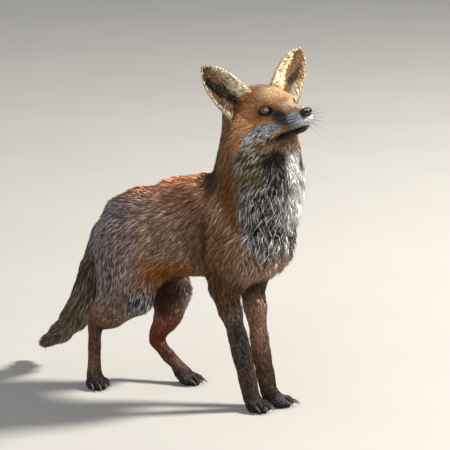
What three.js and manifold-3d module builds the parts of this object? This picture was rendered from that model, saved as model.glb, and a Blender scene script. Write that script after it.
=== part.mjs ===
// A red fox, life size, standing still with its head raised and tipped back.
//
// The frame is +X towards the nose, +Y towards the fox's left, +Z up, and the soles stand on Z = 0.
// All sizes are millimetres. The body is one smooth field of rounded masses, which gives the outline
// of the coat out to its tips. Each part is a skin cast out to that field from a line inside it, and
// flat cuts part it from its neighbours. Claws, eyes and nose are solids of their own.

import * as THREE from "three";
import { mergeVertices } from "three/addons/utils/BufferGeometryUtils.js";
import Module from "manifold-3d";

const wasm = await Module();
wasm.setup();

// ---------------------------------------------------------------- driving sizes

const GAP = 0.3; // clear space left between two parts that meet
const SPARE = 24; // how far a skin is cast past a cut before it is trimmed

const CHEST = { x: 80, z: 283, long: 109, wide: 60, deep: 82 };
const HIPS = { x: -102, z: 276, long: 56, wide: 46, deep: 55 };
const NECK = { long: 73, wide: 62 }; // half sizes of the neck, fore and aft and across

const HEAD = { at: [202.5, -8, 499], yaw: -14, pitch: 11, roll: 7 }; // midway between the eyes
const EYE = { at: [-1, 24, -2.5], radius: 9.5 }; // this and what follows is in the head's own frame
const NOSE = { at: [67.5, 0, -15.5], radii: [8, 9.5, 7.5] };
const NOSTRIL = { at: [74.5, 4.2, -15.5], radius: 2 };
const EAR = { at: [-38, 43, 12], length: 87, half: 27.5, cup: 20, wall: 4.4, lean: 37.5, sunk: 20 };
const EAR_TURN = { right: -22, left: -22 }; // both open towards the same side

const ANKLE = 27; // height of the cut between a leg and its paw
const PAW = { reach: 43, outerShort: 9, spread: 8.4, toe: [17, 7.6, 10.4], pressed: 1.3 };
const CLAW = { length: 12, radius: 2.9, sunk: 4, root: 10.5, drop: 5.5, tip: 0.3 };

// ---------------------------------------------------------------- small helpers

const radians = THREE.MathUtils.degToRad;
const vec = (a) => new THREE.Vector3(...a);
const sides = [
  { side: "right", s: -1 },
  { side: "left", s: 1 },
];

// A turn about X, then Y, then Z, in degrees, followed by a move. A pitch raises the +X end.
function placing(at, roll = 0, pitch = 0, yaw = 0) {
  const turn = new THREE.Euler(radians(roll), radians(-pitch), radians(yaw), "ZYX");
  return new THREE.Matrix4().makeRotationFromEuler(turn).setPosition(...at);
}

const headFrame = placing(HEAD.at, HEAD.roll, HEAD.pitch, HEAD.yaw);
const inHead = (x, y, z) => vec([x, y, z]).applyMatrix4(headFrame).toArray();

// ---------------------------------------------------------------- rounded masses

// Each mass is a distance to its surface, below zero inside it.
function egg(at, radii, roll = 0, pitch = 0, yaw = 0, frame = null) {
  const place = placing(at, roll, pitch, yaw);
  if (frame) place.premultiply(frame);
  const e = place.invert().elements;
  const [a, b, c] = radii;
  return (x, y, z) => {
    const u = (e[0] * x + e[4] * y + e[8] * z + e[12]) / a;
    const v = (e[1] * x + e[5] * y + e[9] * z + e[13]) / b;
    const w = (e[2] * x + e[6] * y + e[10] * z + e[14]) / c;
    const near = Math.hypot(u, v, w);
    if (near < 1e-6) return -Math.min(a, b, c);
    return (near * (near - 1)) / Math.hypot(u / a, v / b, w / c);
  };
}

// A tapering bar with round ends. Below 1, `flat` squeezes it across the fox, along Y.
function bar(from, to, fromRadius, toRadius, flat = 1) {
  const [ax, ay, az] = [from[0], from[1] / flat, from[2]];
  const [bx, by, bz] = [to[0] - ax, to[1] / flat - ay, to[2] - az];
  const length2 = bx * bx + by * by + bz * bz;
  return (x, y, z) => {
    const [px, py, pz] = [x - ax, y / flat - ay, z - az];
    const t = Math.min(1, Math.max(0, (px * bx + py * by + pz * bz) / length2));
    const radius = fromRadius + (toRadius - fromRadius) * t;
    return (Math.hypot(px - t * bx, py - t * by, pz - t * bz) - radius) * Math.min(1, flat);
  };
}

const headEgg = (at, radii, roll, pitch, yaw) => egg(at, radii, roll, pitch, yaw, headFrame);
const headBar = (from, to, r0, r1) => bar(inHead(...from), inHead(...to), r0, r1);

// A chain of bars through [x, y, z, radius] points.
function chain(points, flat, blend) {
  return points.slice(1).map((b, i) => {
    const a = points[i];
    return [bar(a.slice(0, 3), b.slice(0, 3), a[3], b[3], flat), blend];
  });
}

// Masses run together, each over its own `blend` of millimetres.
function together(masses) {
  return (x, y, z) => {
    let d = 1e6;
    for (const [mass, blend] of masses) {
      const m = mass(x, y, z);
      const h = Math.max(blend - Math.abs(d - m), 0) / blend;
      d = Math.min(d, m) - h * h * blend * 0.25;
    }
    return d;
  };
}

// ---------------------------------------------------------------- the body's masses

const trunkMasses = [
  [egg([CHEST.x, 0, CHEST.z], [CHEST.long, CHEST.wide, CHEST.deep], 0, -6), 1],
  [egg([18, 0, 320], [76, 42, 51], 0, 3), 30], // the raised hair over the withers
  [egg([-38, 0, 264], [98, 57, 70], 0, -3), 40],
  [egg([HIPS.x, 0, HIPS.z], [HIPS.long, HIPS.wide, HIPS.deep], 0, 8), 40],
  [egg([138, 0, 274], [52, 53, 66], 0, -10), 30],
];

const slim = NECK.wide / NECK.long;
const neckMasses = [
  [bar([128, 0, 322], [158, -3, 372], NECK.long + 1, NECK.long - 1, slim), 40],
  [bar([158, -3, 372], [162, -5, 420], NECK.long - 1, NECK.long - 8, slim), 25],
  [bar([162, -5, 420], [158, -7, 450], NECK.long - 8, NECK.long - 15, slim), 25],
];

const headMasses = [
  [headEgg([-40, 0, 2], [46, 41, 37]), 20],
  [headEgg([-8, 0, 2], [28, 28, 16], 0, -14), 14],
  [headEgg([-78, 0, -10], [44, 52, 46]), 20],
  [headBar([4, 0, -9], [57, 0, -16.5], 20, 11.5), 12],
  [headBar([-14, 0, -42], [55, 0, -38], 17, 8.5), 10],
  ...sides.flatMap(({ s }) => [
    [headEgg([-31, s * 25, -17], [32, 20, 23], 0, 0, s * -12), 10],
    [headEgg([-48, s * 38, -32], [34, 22, 36], s * 20), 14],
    [headEgg([50, s * 9.5, -25], [19, 11, 11], 0, 0, s * -4), 6],
  ]),
];

// The legs, from the body down. The right hind leg reaches back and the left one reaches forward.
const legs = {
  foreleg_right: {
    masses: [
      ...chain([[138, -40, 262, 48], [116, -43, 205, 25]], 0.72, 26),
      ...chain([[116, -43, 205, 25], [128, -38, 166, 18.5], [139, -30, 117, 15.5]], 0.9, 12),
      ...chain([[139, -30, 117, 15.5], [143, -25, 89, 16], [150, -20, 52, 14.5], [155, -17, 20, 15]], 1, 10),
    ],
    line: [[126, -42, 236], [120, -42, 200], [139, -30, 117], [144, -25, 86], [150, -20, 52], [154, -17, 24]],
    cuts: [
      { point: [115, -30, 214], way: [-0.1, -1, -1] },
      { point: [76, 0, 210], way: [1, 0, 0.3] },
    ],
    paw: { at: [156, -17], yaw: -10 },
  },
  foreleg_left: {
    masses: [
      ...chain([[134, 40, 262, 48], [104, 43, 203, 25]], 0.72, 26),
      ...chain([[104, 43, 203, 25], [118, 39, 153, 18], [132, 32, 106, 15]], 0.9, 12),
      ...chain([[132, 32, 106, 15], [140, 28, 79, 15.5], [152, 24, 50, 14], [162, 21, 20, 15]], 1, 10),
    ],
    line: [[120, 42, 236], [109, 42, 196], [132, 32, 106], [140, 28, 79], [152, 24, 50], [160, 21, 24]],
    cuts: [
      { point: [115, 30, 214], way: [-0.1, 1, -1] },
      { point: [66, 0, 210], way: [1, 0, 0.3] },
    ],
    paw: { at: [163, 21], yaw: 34 },
  },
  hindleg_right: {
    masses: [
      ...chain([[-96, -34, 258, 50], [-56, -52, 166, 36]], 0.76, 30),
      ...chain([[-118, -38, 238, 42], [-112, -52, 184, 33]], 0.78, 30),
      ...chain([[-84, -54, 163, 37], [-118, -56, 132, 27], [-147, -57, 115, 15]], 0.8, 16),
      ...chain([[-150, -57, 116, 13], [-159, -57, 124, 8]], 0.8, 8),
      ...chain([[-149, -57, 114, 13.5], [-151, -57, 70, 10.5], [-152, -57, 24, 13]], 1, 8),
    ],
    line: [[-96, -46, 226], [-90, -52, 180], [-108, -55, 148], [-146, -57, 116], [-151, -57, 84], [-152, -57, 24]],
    cuts: [{ point: [-112, -30, 244], way: [-0.9, -1.3, -1] }],
    paw: { at: [-152, -57], yaw: -28 },
  },
  hindleg_left: {
    masses: [
      ...chain([[-96, 34, 256, 50], [-68, 47, 158, 31]], 0.76, 30),
      ...chain([[-118, 38, 238, 42], [-96, 46, 172, 30]], 0.78, 30),
      ...chain([[-70, 48, 152, 28], [-79, 50, 115, 22], [-101, 53, 88, 15.5]], 0.8, 16),
      ...chain([[-101, 53, 88, 15.5], [-117, 54, 70, 12.5]], 0.9, 10),
      ...chain([[-116, 54, 72, 12], [-124, 54, 72, 9]], 0.8, 8),
      ...chain([[-114, 54, 67, 12.5], [-86, 56, 43, 11], [-58, 57, 22, 13]], 1, 8),
    ],
    line: [[-92, 42, 220], [-76, 48, 160], [-82, 50, 115], [-108, 53, 78], [-102, 55, 56], [-62, 57, 25]],
    cuts: [{ point: [-112, 30, 240], way: [-0.9, 1.3, -1] }],
    paw: { at: [-57, 57], yaw: 6 },
  },
};

const tailPoints = [
  [-150, 0, 296, 18], [-183, 3, 250, 21], [-204, 5, 190, 27], [-226, 8, 134, 27],
  [-264, 14, 88, 20], [-312, 24, 52, 15], [-350, 30, 33, 9],
];

const torso = [...trunkMasses, ...neckMasses, ...headMasses];
const tailMasses = chain(tailPoints, 1, 16);
const legMasses = Object.values(legs).flatMap(({ masses }) => masses);
const body = together([...torso, ...legMasses, ...tailMasses]);
const bodyWithoutTail = together([...torso, ...legMasses]);
const bodyWithoutLegs = together([...torso, ...tailMasses]);

// ---------------------------------------------------------------- casting a skin from a line

// How far the edge of the field is from `from` along `way`, at most `reach`.
function distanceOut(field, from, way, reach) {
  const at = (t) => field(from.x + way.x * t, from.y + way.y * t, from.z + way.z * t);
  let [inner, outer] = [0, 0];
  while (outer < reach && at(outer) < 0) {
    inner = outer;
    outer += Math.max(-at(outer) * 0.8, 0.8);
  }
  if (outer >= reach) return reach;
  for (let i = 0; i < 16; i++) {
    const middle = (inner + outer) / 2;
    if (at(middle) < 0) inner = middle;
    else outer = middle;
  }
  return outer;
}

// Faces between rings of `around` points, closed by a point at each end.
function ringFaces(rings, around) {
  const at = (ring, j) => 1 + ring * around + (j % around);
  const last = 1 + rings * around;
  const faces = [];
  for (let j = 0; j < around; j++) {
    faces.push(0, at(0, j + 1), at(0, j), last, at(rings - 1, j), at(rings - 1, j + 1));
    for (let r = 0; r + 1 < rings; r++) {
      faces.push(at(r, j), at(r, j + 1), at(r + 1, j + 1), at(r, j), at(r + 1, j + 1), at(r + 1, j));
    }
  }
  return faces;
}

function closedGeometry(positions, faces) {
  const geometry = new THREE.BufferGeometry();
  geometry.setAttribute("position", new THREE.Float32BufferAttribute(positions, 3));
  return geometry.setIndex(faces);
}

// Rings cast out to the field square to the line, and rings that close over each of its ends.
function castSkin(field, line, { around, along, caps = 4, reach = 120 }) {
  const curve = new THREE.CatmullRomCurve3(line.map(vec));
  const across = new THREE.Vector3(0, 1, 0);
  const rings = [];
  for (let k = caps - 1; k > 0; k--) rings.push({ t: 0, lift: (-90 * k) / caps });
  for (let i = 0; i <= along; i++) rings.push({ t: i / along, lift: 0 });
  for (let k = 1; k < caps; k++) rings.push({ t: 1, lift: (90 * k) / caps });

  const positions = [];
  const cast = (from, way) => {
    const out = distanceOut(field, from, way, reach);
    positions.push(...from.clone().addScaledVector(way, out));
  };
  cast(curve.getPointAt(0), curve.getTangentAt(0).negate());
  for (const { t, lift } of rings) {
    const from = curve.getPointAt(t);
    const ahead = curve.getTangentAt(t);
    const side = across.clone().addScaledVector(ahead, -across.dot(ahead)).normalize();
    const up = new THREE.Vector3().crossVectors(ahead, side);
    for (let j = 0; j < around; j++) {
      const turn = (2 * Math.PI * (j + 0.5)) / around;
      const way = side.clone().multiplyScalar(Math.cos(turn)).addScaledVector(up, Math.sin(turn));
      way.multiplyScalar(Math.cos(radians(lift))).addScaledVector(ahead, Math.sin(radians(lift)));
      cast(from, way);
    }
  }
  cast(curve.getPointAt(1), curve.getTangentAt(1));
  return closedGeometry(positions, ringFaces(rings.length, around));
}

// ---------------------------------------------------------------- solids and cuts

function solid(geometry, place = new THREE.Matrix4()) {
  const bare = geometry.clone().applyMatrix4(place);
  bare.deleteAttribute("normal");
  bare.deleteAttribute("uv");
  const merged = mergeVertices(bare, 1e-4);
  return new wasm.Manifold(
    new wasm.Mesh({
      numProp: 3,
      vertProperties: new Float32Array(merged.getAttribute("position").array),
      triVerts: new Uint32Array(merged.index.array),
    }),
  );
}

function geometryOf(made) {
  const { vertProperties, triVerts } = made.getMesh();
  const geometry = new THREE.BufferGeometry();
  geometry.setAttribute("position", new THREE.BufferAttribute(vertProperties, 3));
  return geometry.setIndex(new THREE.BufferAttribute(triVerts, 1));
}

// A cut is a plane through `point`. `way` points to the side that is kept or taken away.
const back = ({ point, way }) => ({ point, way: way.map((w) => -w) });

function depthIn({ point, way }) {
  const n = vec(way).normalize();
  const offset = n.dot(vec(point));
  return (x, y, z) => n.x * x + n.y * y + n.z * z - offset;
}

// A block on the cut's far side, whose face stands back from the plane itself.
function beyond({ point, way }, standBack = GAP / 2, size = 900) {
  const block = new THREE.BoxGeometry(size, size, size).translate(0, 0, size / 2 + standBack);
  const turn = new THREE.Quaternion().setFromUnitVectors(vec([0, 0, 1]), vec(way).normalize());
  return solid(block.applyQuaternion(turn).translate(...point));
}

// A ball squeezed to three half sizes.
const round = (at, radii, place, around = 10, down = 8) =>
  solid(
    new THREE.SphereGeometry(1, around, down),
    placing(at).premultiply(place).multiply(new THREE.Matrix4().makeScale(...radii)),
  );
const largest = (made) => made.decompose().sort((a, b) => b.volume() - a.volume())[0];

// The part of the body that lies on the near side of every cut.
function portion(line, sampling, cuts, field = body) {
  const depths = cuts.map(depthIn);
  const within = (x, y, z) => Math.max(field(x, y, z), ...depths.map((depth) => -depth(x, y, z) - SPARE));
  let made = solid(castSkin(within, line, sampling));
  for (const cut of cuts) made = made.intersect(beyond(cut));
  return largest(made);
}

// ---------------------------------------------------------------- where the parts meet

const neckCut = { point: [140, 0, 322], way: [0.62, 0, 0.78] };
const headCut = { point: inHead(-50, 0, -48), way: [0.5, -0.05, 0.86] };
const tailCut = { point: [-164, 0, 290], way: [-1, 0, -0.12] };
const floor = { point: [0, 0, -GAP / 2], way: [0, 0, 1] };
const ankleCut = { point: [0, 0, ANKLE], way: [0, 0, 1] };

// ---------------------------------------------------------------- the parts

// A leg is the body beyond its own cuts, on its own side of the middle.
const middle = (name) => ({ point: [0, 0, 0], way: [0, name.endsWith("left") ? 1 : -1, 0] });
const legCuts = (name) => [...legs[name].cuts, middle(name)];

function trunk() {
  const line = [[-112, 0, 272], [-40, 0, 270], [40, 0, 284], [110, 0, 284], [150, 0, 284]];
  const regions = Object.keys(legs).map((name) => legCuts(name).map(depthIn));
  const bare = (x, y, z) =>
    Math.max(body(x, y, z), ...regions.map((r) => Math.min(...r.map((depth) => depth(x, y, z))) - SPARE));
  const sampling = { around: 30, along: 12, caps: 5, reach: 150 };
  let made = portion(line, sampling, [back(neckCut), back(tailCut)], bare);
  for (const name of Object.keys(legs)) {
    const blocks = legCuts(name).map((cut) => beyond(cut, -GAP / 2));
    made = made.subtract(blocks.reduce((a, b) => a.intersect(b)));
  }
  return largest(made);
}

function neck() {
  const line = [[129, 0, 306], [146, 0, 330], [161, -3, 380], [165, -6, 446]];
  return portion(line, { around: 24, along: 8, caps: 3 }, [neckCut, back(headCut)]);
}

function headSkin(grown = 0) {
  const line = [inHead(-46, 0, -16), inHead(-10, 0, -18), inHead(24, 0, -21), inHead(52, 0, -25)];
  const field = (x, y, z) => body(x, y, z) - grown;
  return portion(line, { around: 26, along: 16, caps: 5 }, [headCut], field);
}

function leg(name) {
  const sampling = { around: 12, along: 15, caps: 3 };
  return portion(legs[name].line, sampling, [...legCuts(name), ankleCut], bodyWithoutTail);
}

function tail(grown = 0) {
  const field = (x, y, z) => bodyWithoutLegs(x, y, z) - grown;
  const line = tailPoints.map(([x, y, z]) => [x, y, z]);
  return portion(line, { around: 12, along: 14, caps: 3 }, [tailCut], field);
}

// A paw in its own frame: +X towards the toes, from the foot of the leg, and four toes that spread.
const toeRanks = [-1.5, -0.5, 0.5, 1.5];
const toeEnd = (k) => PAW.reach - (Math.abs(k) > 1 ? PAW.outerShort : 0);
const pawPlace = ({ paw: { at, yaw } }) => placing([at[0], at[1], 0], 0, 0, yaw);

function paw(parts) {
  const place = pawPlace(parts);
  const on = (x, y, z) => vec([x, y, z]).applyMatrix4(place).toArray();
  const masses = together([
    [bar(on(0, 0, ANKLE + 4), on(2, 0, 18), 13.5, 13), 6],
    [bar(on(1, 0, 15), on(20, 0, 10), 13, 11), 8],
  ]);
  const field = (x, y, z) => Math.min(masses(x, y, z), z > ANKLE - 8 ? body(x, y, z) : 1e6);
  const line = [on(-1, 0, 20), on(5, 0, 14), on(14, 0, 11)];
  const cuts = [back(ankleCut), floor];
  let made = portion(line, { around: 9, along: 3, caps: 2, reach: 60 }, cuts, field);
  for (const k of toeRanks) {
    const [long, wide, deep] = PAW.toe;
    const at = [toeEnd(k) - long, k * PAW.spread, deep - PAW.pressed];
    const toe = round(at, PAW.toe, place.clone().multiply(placing([0, 0, 0], 0, 0, k * 3)), 8, 4);
    made = made.add(toe.intersect(beyond(floor)));
  }
  return made;
}

// Ring after ring of points, closed at both ends by the middle of its last ring.
function loft(rings) {
  const middle = (ring) =>
    ring.reduce((sum, p) => sum.add(p), new THREE.Vector3()).divideScalar(ring.length);
  const positions = [middle(rings[0]), ...rings.flat(), middle(rings.at(-1))].flatMap((p) => [...p]);
  return closedGeometry(positions, ringFaces(rings.length, rings[0].length));
}

function ear({ side, s }) {
  const { at, length, half, cup, wall, lean, sunk } = EAR;
  const place = placing([at[0], s * at[1], at[2]], -s * lean)
    .multiply(placing([0, 0, 0], 0, 0, EAR_TURN[side]))
    .premultiply(headFrame);
  const rings = [];
  const steps = 8;
  for (let i = 0; i <= steps; i++) {
    const u = -sunk / length + (0.985 + sunk / length) * Math.sin((Math.PI / 2) * (i / steps));
    const up = Math.max(u, 0);
    const wide = half * (1 - up ** 2.8) ** 0.6;
    const deep = cup * (1 - 0.72 * up);
    const ring = [];
    const spans = 7;
    for (let j = 0; j <= spans; j++) {
      const v = -1 + (2 * j) / spans;
      ring.push(vec([-deep * (1 - v * v), wide * v, u * length]));
    }
    for (let j = spans; j >= 0; j--) {
      const v = -1 + (2 * j) / spans;
      const thick = wall * (1 - 0.5 * v * v) * (1 - 0.35 * up);
      ring.push(vec([-deep * (1 - v * v) - thick, wide * v * 1.02, u * length]));
    }
    rings.push(ring.map((p) => p.applyMatrix4(place)));
  }
  return solid(loft(rings));
}

const all = (r) => [r, r, r];

// A claw lies along +X from the end of its toe and dips to a blunt point.
function claw(parts, k, grown = 0) {
  const place = pawPlace(parts).multiply(placing([0, 0, 0], 0, 0, k * 3));
  const rings = [0, 0.5, 1].map((t) => {
    const radius = CLAW.radius * (1 - (1 - CLAW.tip) * t) + grown;
    const x = toeEnd(k) - CLAW.sunk + t * CLAW.length - (t > 0 ? 0 : grown);
    const z = CLAW.root - CLAW.drop * t * t;
    return [0, 1, 2, 3, 4].map((j) => {
      const turn = (2 * Math.PI * j) / 5;
      const y = k * PAW.spread + radius * 0.75 * Math.cos(turn);
      return vec([x, y, z + radius * Math.sin(turn)]).applyMatrix4(place);
    });
  });
  return solid(loft(rings));
}

// ---------------------------------------------------------------- the model

const surface = (color, roughness) => new THREE.MeshStandardMaterial({ color, roughness, metalness: 0 });
const flankCoat = surface(0x7d5a3e, 0.9);
const neckCoat = surface(0x8f6138, 0.9);
const headCoat = surface(0xa4602f, 0.85);
const tailCoat = surface(0x6b5442, 0.9);
const legCoat = surface(0x6d452b, 0.85);
const pawCoat = surface(0x241c18, 0.85);
const earCoat = surface(0xb08a62, 0.85);
const horn = surface(0x5a5048, 0.5);
const wet = surface(0x121010, 0.35);
const amber = surface(0xa9782c, 0.1);

const fox = new THREE.Group();
fox.name = "red_fox";
function add(name, made, material) {
  const mesh = new THREE.Mesh(geometryOf(made), material);
  mesh.name = name;
  fox.add(mesh);
}

add("trunk", trunk(), flankCoat);
add("neck", neck(), neckCoat);
add("tail", tail(), tailCoat);

let head = headSkin();
const headGrown = headSkin(GAP);
for (const { side, s } of sides) {
  const at = [EYE.at[0], s * EYE.at[1], EYE.at[2]];
  head = head.subtract(round(at, all(EYE.radius + GAP), headFrame));
  add(`eye_${side}`, round(at, all(EYE.radius), headFrame), amber);
  add(`ear_${side}`, largest(ear({ side, s }).subtract(headGrown)), earCoat);
}
head = head.subtract(round(NOSE.at, NOSE.radii.map((r) => r + GAP), headFrame));
let nose = round(NOSE.at, NOSE.radii, headFrame);
for (const { s } of sides) {
  nose = nose.subtract(round([NOSTRIL.at[0], s * NOSTRIL.at[1], NOSTRIL.at[2]], all(NOSTRIL.radius), headFrame, 6, 4));
}
add("head", largest(head), headCoat);
add("nose", nose, wet);

const tailGrown = tail(GAP);
for (const [name, parts] of Object.entries(legs)) {
  add(name, largest(leg(name).subtract(tailGrown)), legCoat);
  let foot = paw(parts);
  toeRanks.forEach((k, i) => {
    foot = foot.subtract(claw(parts, k, GAP));
    add(`${name.replace("leg", "claw")}_${i + 1}`, claw(parts, k), horn);
  });
  add(name.replace("leg", "paw"), largest(foot), pawCoat);
}

// The origin is the middle of the floor under the whole fox.
const box = new THREE.Box3().setFromObject(fox);
const centre = box.getCenter(new THREE.Vector3());
fox.position.set(-centre.x, -centre.y, -box.min.z);

export default fox;
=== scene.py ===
"""A life-size red fox, standing still: the finish of its skin, coat, eyes, nose, ears and claws.

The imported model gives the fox's form out to the tips of the coat. The skin lies inside that form by
the coat's depth, and locks of hair run from the skin back out to it along the lie of the coat.
Places on the body are millimetres in the fox's own frame: +X forwards, +Y to its left, +Z up, from
the floor. Places on the head are millimetres from the point midway between the eyes.
"""

import functools
import math
from collections import namedtuple

import bmesh
import bpy
import numpy as np
import openvdb
from bpy.props import FloatProperty, FloatVectorProperty, IntProperty, PointerProperty
from mathutils import Matrix, Vector
from mathutils.kdtree import KDTree


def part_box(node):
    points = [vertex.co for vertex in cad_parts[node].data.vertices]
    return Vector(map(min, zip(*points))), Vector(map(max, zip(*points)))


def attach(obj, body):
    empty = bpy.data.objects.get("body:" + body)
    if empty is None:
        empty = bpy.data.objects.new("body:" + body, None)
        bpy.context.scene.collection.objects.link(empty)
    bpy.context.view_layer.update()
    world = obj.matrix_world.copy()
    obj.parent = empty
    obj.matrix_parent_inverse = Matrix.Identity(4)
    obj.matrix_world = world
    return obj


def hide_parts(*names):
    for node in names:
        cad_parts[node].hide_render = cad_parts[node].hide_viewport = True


bl_info = {
    "name": "Red Fox",
    "version": (1, 0, 0),
    "blender": (4, 5, 0),
    "location": "3D View > Sidebar > Fox",
    "description": "Builds the skin, coat and finish of a standing red fox over its packed model",
    "category": "Object",
}

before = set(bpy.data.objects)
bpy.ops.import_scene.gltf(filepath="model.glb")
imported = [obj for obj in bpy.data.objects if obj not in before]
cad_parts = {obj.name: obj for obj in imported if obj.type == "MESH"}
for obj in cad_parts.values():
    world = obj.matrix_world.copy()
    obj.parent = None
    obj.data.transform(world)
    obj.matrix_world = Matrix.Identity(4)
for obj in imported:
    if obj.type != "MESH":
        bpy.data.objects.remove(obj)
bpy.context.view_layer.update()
MM = 0.001
SIDES = {"right": -1, "left": 1}

# ------------------------------------------------------------------ places on the fox


def middle(node):
    low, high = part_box(node)
    return (low + high) / 2


def head_axes():
    """The head's own frame, from where the eyes and the nose are."""
    right, left, nose = (middle(n) for n in ("eye_right", "eye_left", "nose"))
    origin = (right + left) / 2
    across = (left - right).normalized()
    muzzle = (nose - origin).normalized()
    rise = muzzle.cross(across).normalized()
    ahead = muzzle * math.cos(NOSE_DROP) + rise * math.sin(NOSE_DROP)
    up = ahead.cross(across).normalized()
    axes = Matrix((ahead, across, up)).transposed().to_4x4()
    return Matrix.Translation(origin) @ axes


NOSE_DROP = math.atan2(13.0, 68.5)  # how far the nose lies below the line of sight
HEAD = head_axes()
HEAD_TURN = np.array(HEAD.to_3x3())
HEAD_AT = np.array(HEAD.translation)
EYES_ON_BODY = np.array((202.1, -7.6, 496.4)) * MM  # midway between the eyes, in the body's own frame
BODY_AT = HEAD_AT - EYES_ON_BODY


def on_body(places):
    return np.asarray(places, float) * MM + BODY_AT


def on_head(places):
    return np.asarray(places, float) @ HEAD_TURN.T * MM + HEAD_AT


def from_head(points):
    return (np.asarray(points, float) - HEAD_AT) @ HEAD_TURN / MM


# ------------------------------------------------------------------ the lie of the coat

# Each guide: a place, the way the hair lies there, the coat's depth and the hair's length.
# These are mirrored. The head's are in the head's own frame.
HEAD_GUIDES = {
    "nose bridge": ((48, 0, -3), (-1, 0, 0.1), 1.2, 3.2),
    "upper lip": ((60, 12, -24), (-1, 0.25, -0.2), 1.2, 3),
    "muzzle side": ((32, 17, -18), (-1, 0.2, -0.15), 1.4, 4.5),
    "chin": ((58, 0, -46), (-1, 0, -0.1), 1.4, 4.5),
    "jaw": ((25, 12, -52), (-1, 0.15, -0.2), 3, 9),
    "brow": ((8, 14, 12), (-0.9, 0.1, 0.35), 2.2, 6),
    "forehead": ((-12, 0, 26), (-1, 0, 0.25), 3, 9),
    "over eye": ((-6, 26, 12), (-1, 0.1, 0.1), 2.2, 7),
    "upper lid": ((1, 30, 10), (-1, 0.1, 0.1), 0.9, 3),
    "lower lid": ((3, 31, -9), (-1, 0.3, -0.1), 0.9, 3),
    "below eye": ((6, 34, -16), (-0.95, 0.25, -0.2), 2.2, 7),
    "temple": ((-30, 44, 4), (-1, 0.05, -0.1), 4, 11),
    "crown": ((-45, 0, 39), (-1, 0, -0.1), 4, 12),
    "cheek": ((-14, 50, -28), (-0.85, 0.3, -0.4), 8, 18),
    "ruff": ((-48, 66, -45), (-0.6, 0.25, -0.75), 13, 28),
    "jaw corner": ((2, 28, -56), (-0.85, 0.2, -0.5), 7, 17),
    "behind jaw": ((-22, 50, -68), (-0.6, 0.15, -0.8), 12, 28),
    "throat": ((12, 0, -64), (-0.7, 0, -0.7), 9, 20),
    "nape": ((-88, 0, 22), (-0.8, 0, -0.6), 8, 20),
}
BODY_GUIDES = {
    "nape": ((92, 0, 430), (-0.35, 0, -0.95), 15, 32),
    "neck side": ((150, 62, 410), (-0.25, 0, -1), 18, 36),
    "neck side low": ((140, 62, 350), (-0.3, 0, -1), 19, 38),
    "throat": ((236, 0, 405), (-0.1, 0, -1), 15, 32),
    "bib": ((230, 0, 350), (-0.1, 0, -1), 20, 40),
    "breast": ((205, 0, 285), (-0.25, 0, -1), 20, 40),
    "breast side": ((175, 50, 290), (-0.3, 0.1, -1), 18, 36),
    "chest below": ((150, 0, 215), (-0.9, 0, -0.3), 16, 34),
    "withers": ((72, 0, 372), (-0.95, 0, -0.3), 20, 52),
    "hump": ((18, 0, 368), (-1, 0, -0.15), 21, 52),
    "hump side": ((20, 40, 345), (-0.9, 0, -0.45), 18, 46),
    "shoulder top": ((88, 55, 320), (-0.7, 0, -0.75), 16, 30),
    "shoulder": ((108, 58, 275), (-0.45, 0, -0.9), 14, 25),
    "elbow": ((95, 55, 225), (-0.55, 0, -0.85), 10, 24),
    "back": ((-55, 0, 335), (-1, 0, -0.1), 16, 38),
    "ribs": ((-10, 56, 285), (-0.7, 0, -0.72), 15, 28),
    "ribs low": ((30, 52, 235), (-0.75, 0, -0.65), 14, 27),
    "flank": ((-70, 54, 270), (-0.65, 0, -0.76), 13, 26),
    "belly": ((-10, 0, 205), (-1, 0, -0.1), 12, 28),
    "groin": ((-60, 20, 195), (-0.8, 0, -0.6), 9, 24),
    "rump": ((-125, 0, 325), (-0.9, 0, -0.45), 13, 28),
    "haunch": ((-125, 55, 270), (-0.6, 0, -0.8), 10, 22),
    "buttock": ((-160, 28, 235), (-0.25, 0, -1), 9, 22),
}
# Points down each limb and along the tail: place, coat depth and hair length.
LIMBS = {
    "foreleg_right": ((114, -46, 225, 9, 22), (120, -42, 190, 6, 16), (132, -35, 145, 3.5, 10),
                      (141, -28, 100, 2.6, 8), (150, -20, 52, 2.6, 7), (154, -17, 28, 2.2, 6)),
    "foreleg_left": ((104, 46, 225, 9, 22), (108, 42, 190, 6, 16), (122, 37, 140, 3.5, 10),
                     (136, 30, 92, 2.6, 8), (152, 24, 50, 2.6, 7), (160, 21, 28, 2.2, 6)),
    "hindleg_right": ((-96, -58, 225, 9, 24), (-85, -56, 180, 7, 20), (-95, -58, 150, 5.5, 17),
                      (-135, -57, 122, 3.5, 11), (-150, -57, 95, 2.4, 7), (-152, -57, 30, 2.2, 6)),
    "hindleg_left": ((-96, 56, 220, 9, 24), (-80, 52, 165, 7, 20), (-76, 50, 122, 4.5, 13),
                     (-100, 53, 90, 3, 9), (-100, 55, 56, 2.4, 7), (-66, 57, 28, 2.2, 6)),
    "tail": ((-152, 0, 292, 9, 28), (-183, 3, 250, 11, 36), (-204, 5, 190, 14, 50), (-226, 8, 134, 14, 52),
             (-264, 14, 88, 10, 46), (-312, 24, 52, 6.5, 36), (-348, 30, 34, 4, 24)),
}
PAWS = {
    "forepaw_right": ((156, -17), -10),
    "forepaw_left": ((163, 21), 34),
    "hindpaw_right": ((-152, -57), -28),
    "hindpaw_left": ((-57, 57), 6),
}
PAW_GUIDE = {"out": 26, "height": 16, "fall": 0.35, "depth": 1.8, "length": 5}
NECK_FROM = {"height": 335, "ahead": 85}  # guides above and ahead of this are the neck's
GUIDE_SPREAD = 7 * MM  # how far round itself a guide pulls with its full strength


def unit(v):
    v = np.asarray(v, float)
    return v / np.maximum(np.linalg.norm(v, axis=-1, keepdims=True), 1e-12)


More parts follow.
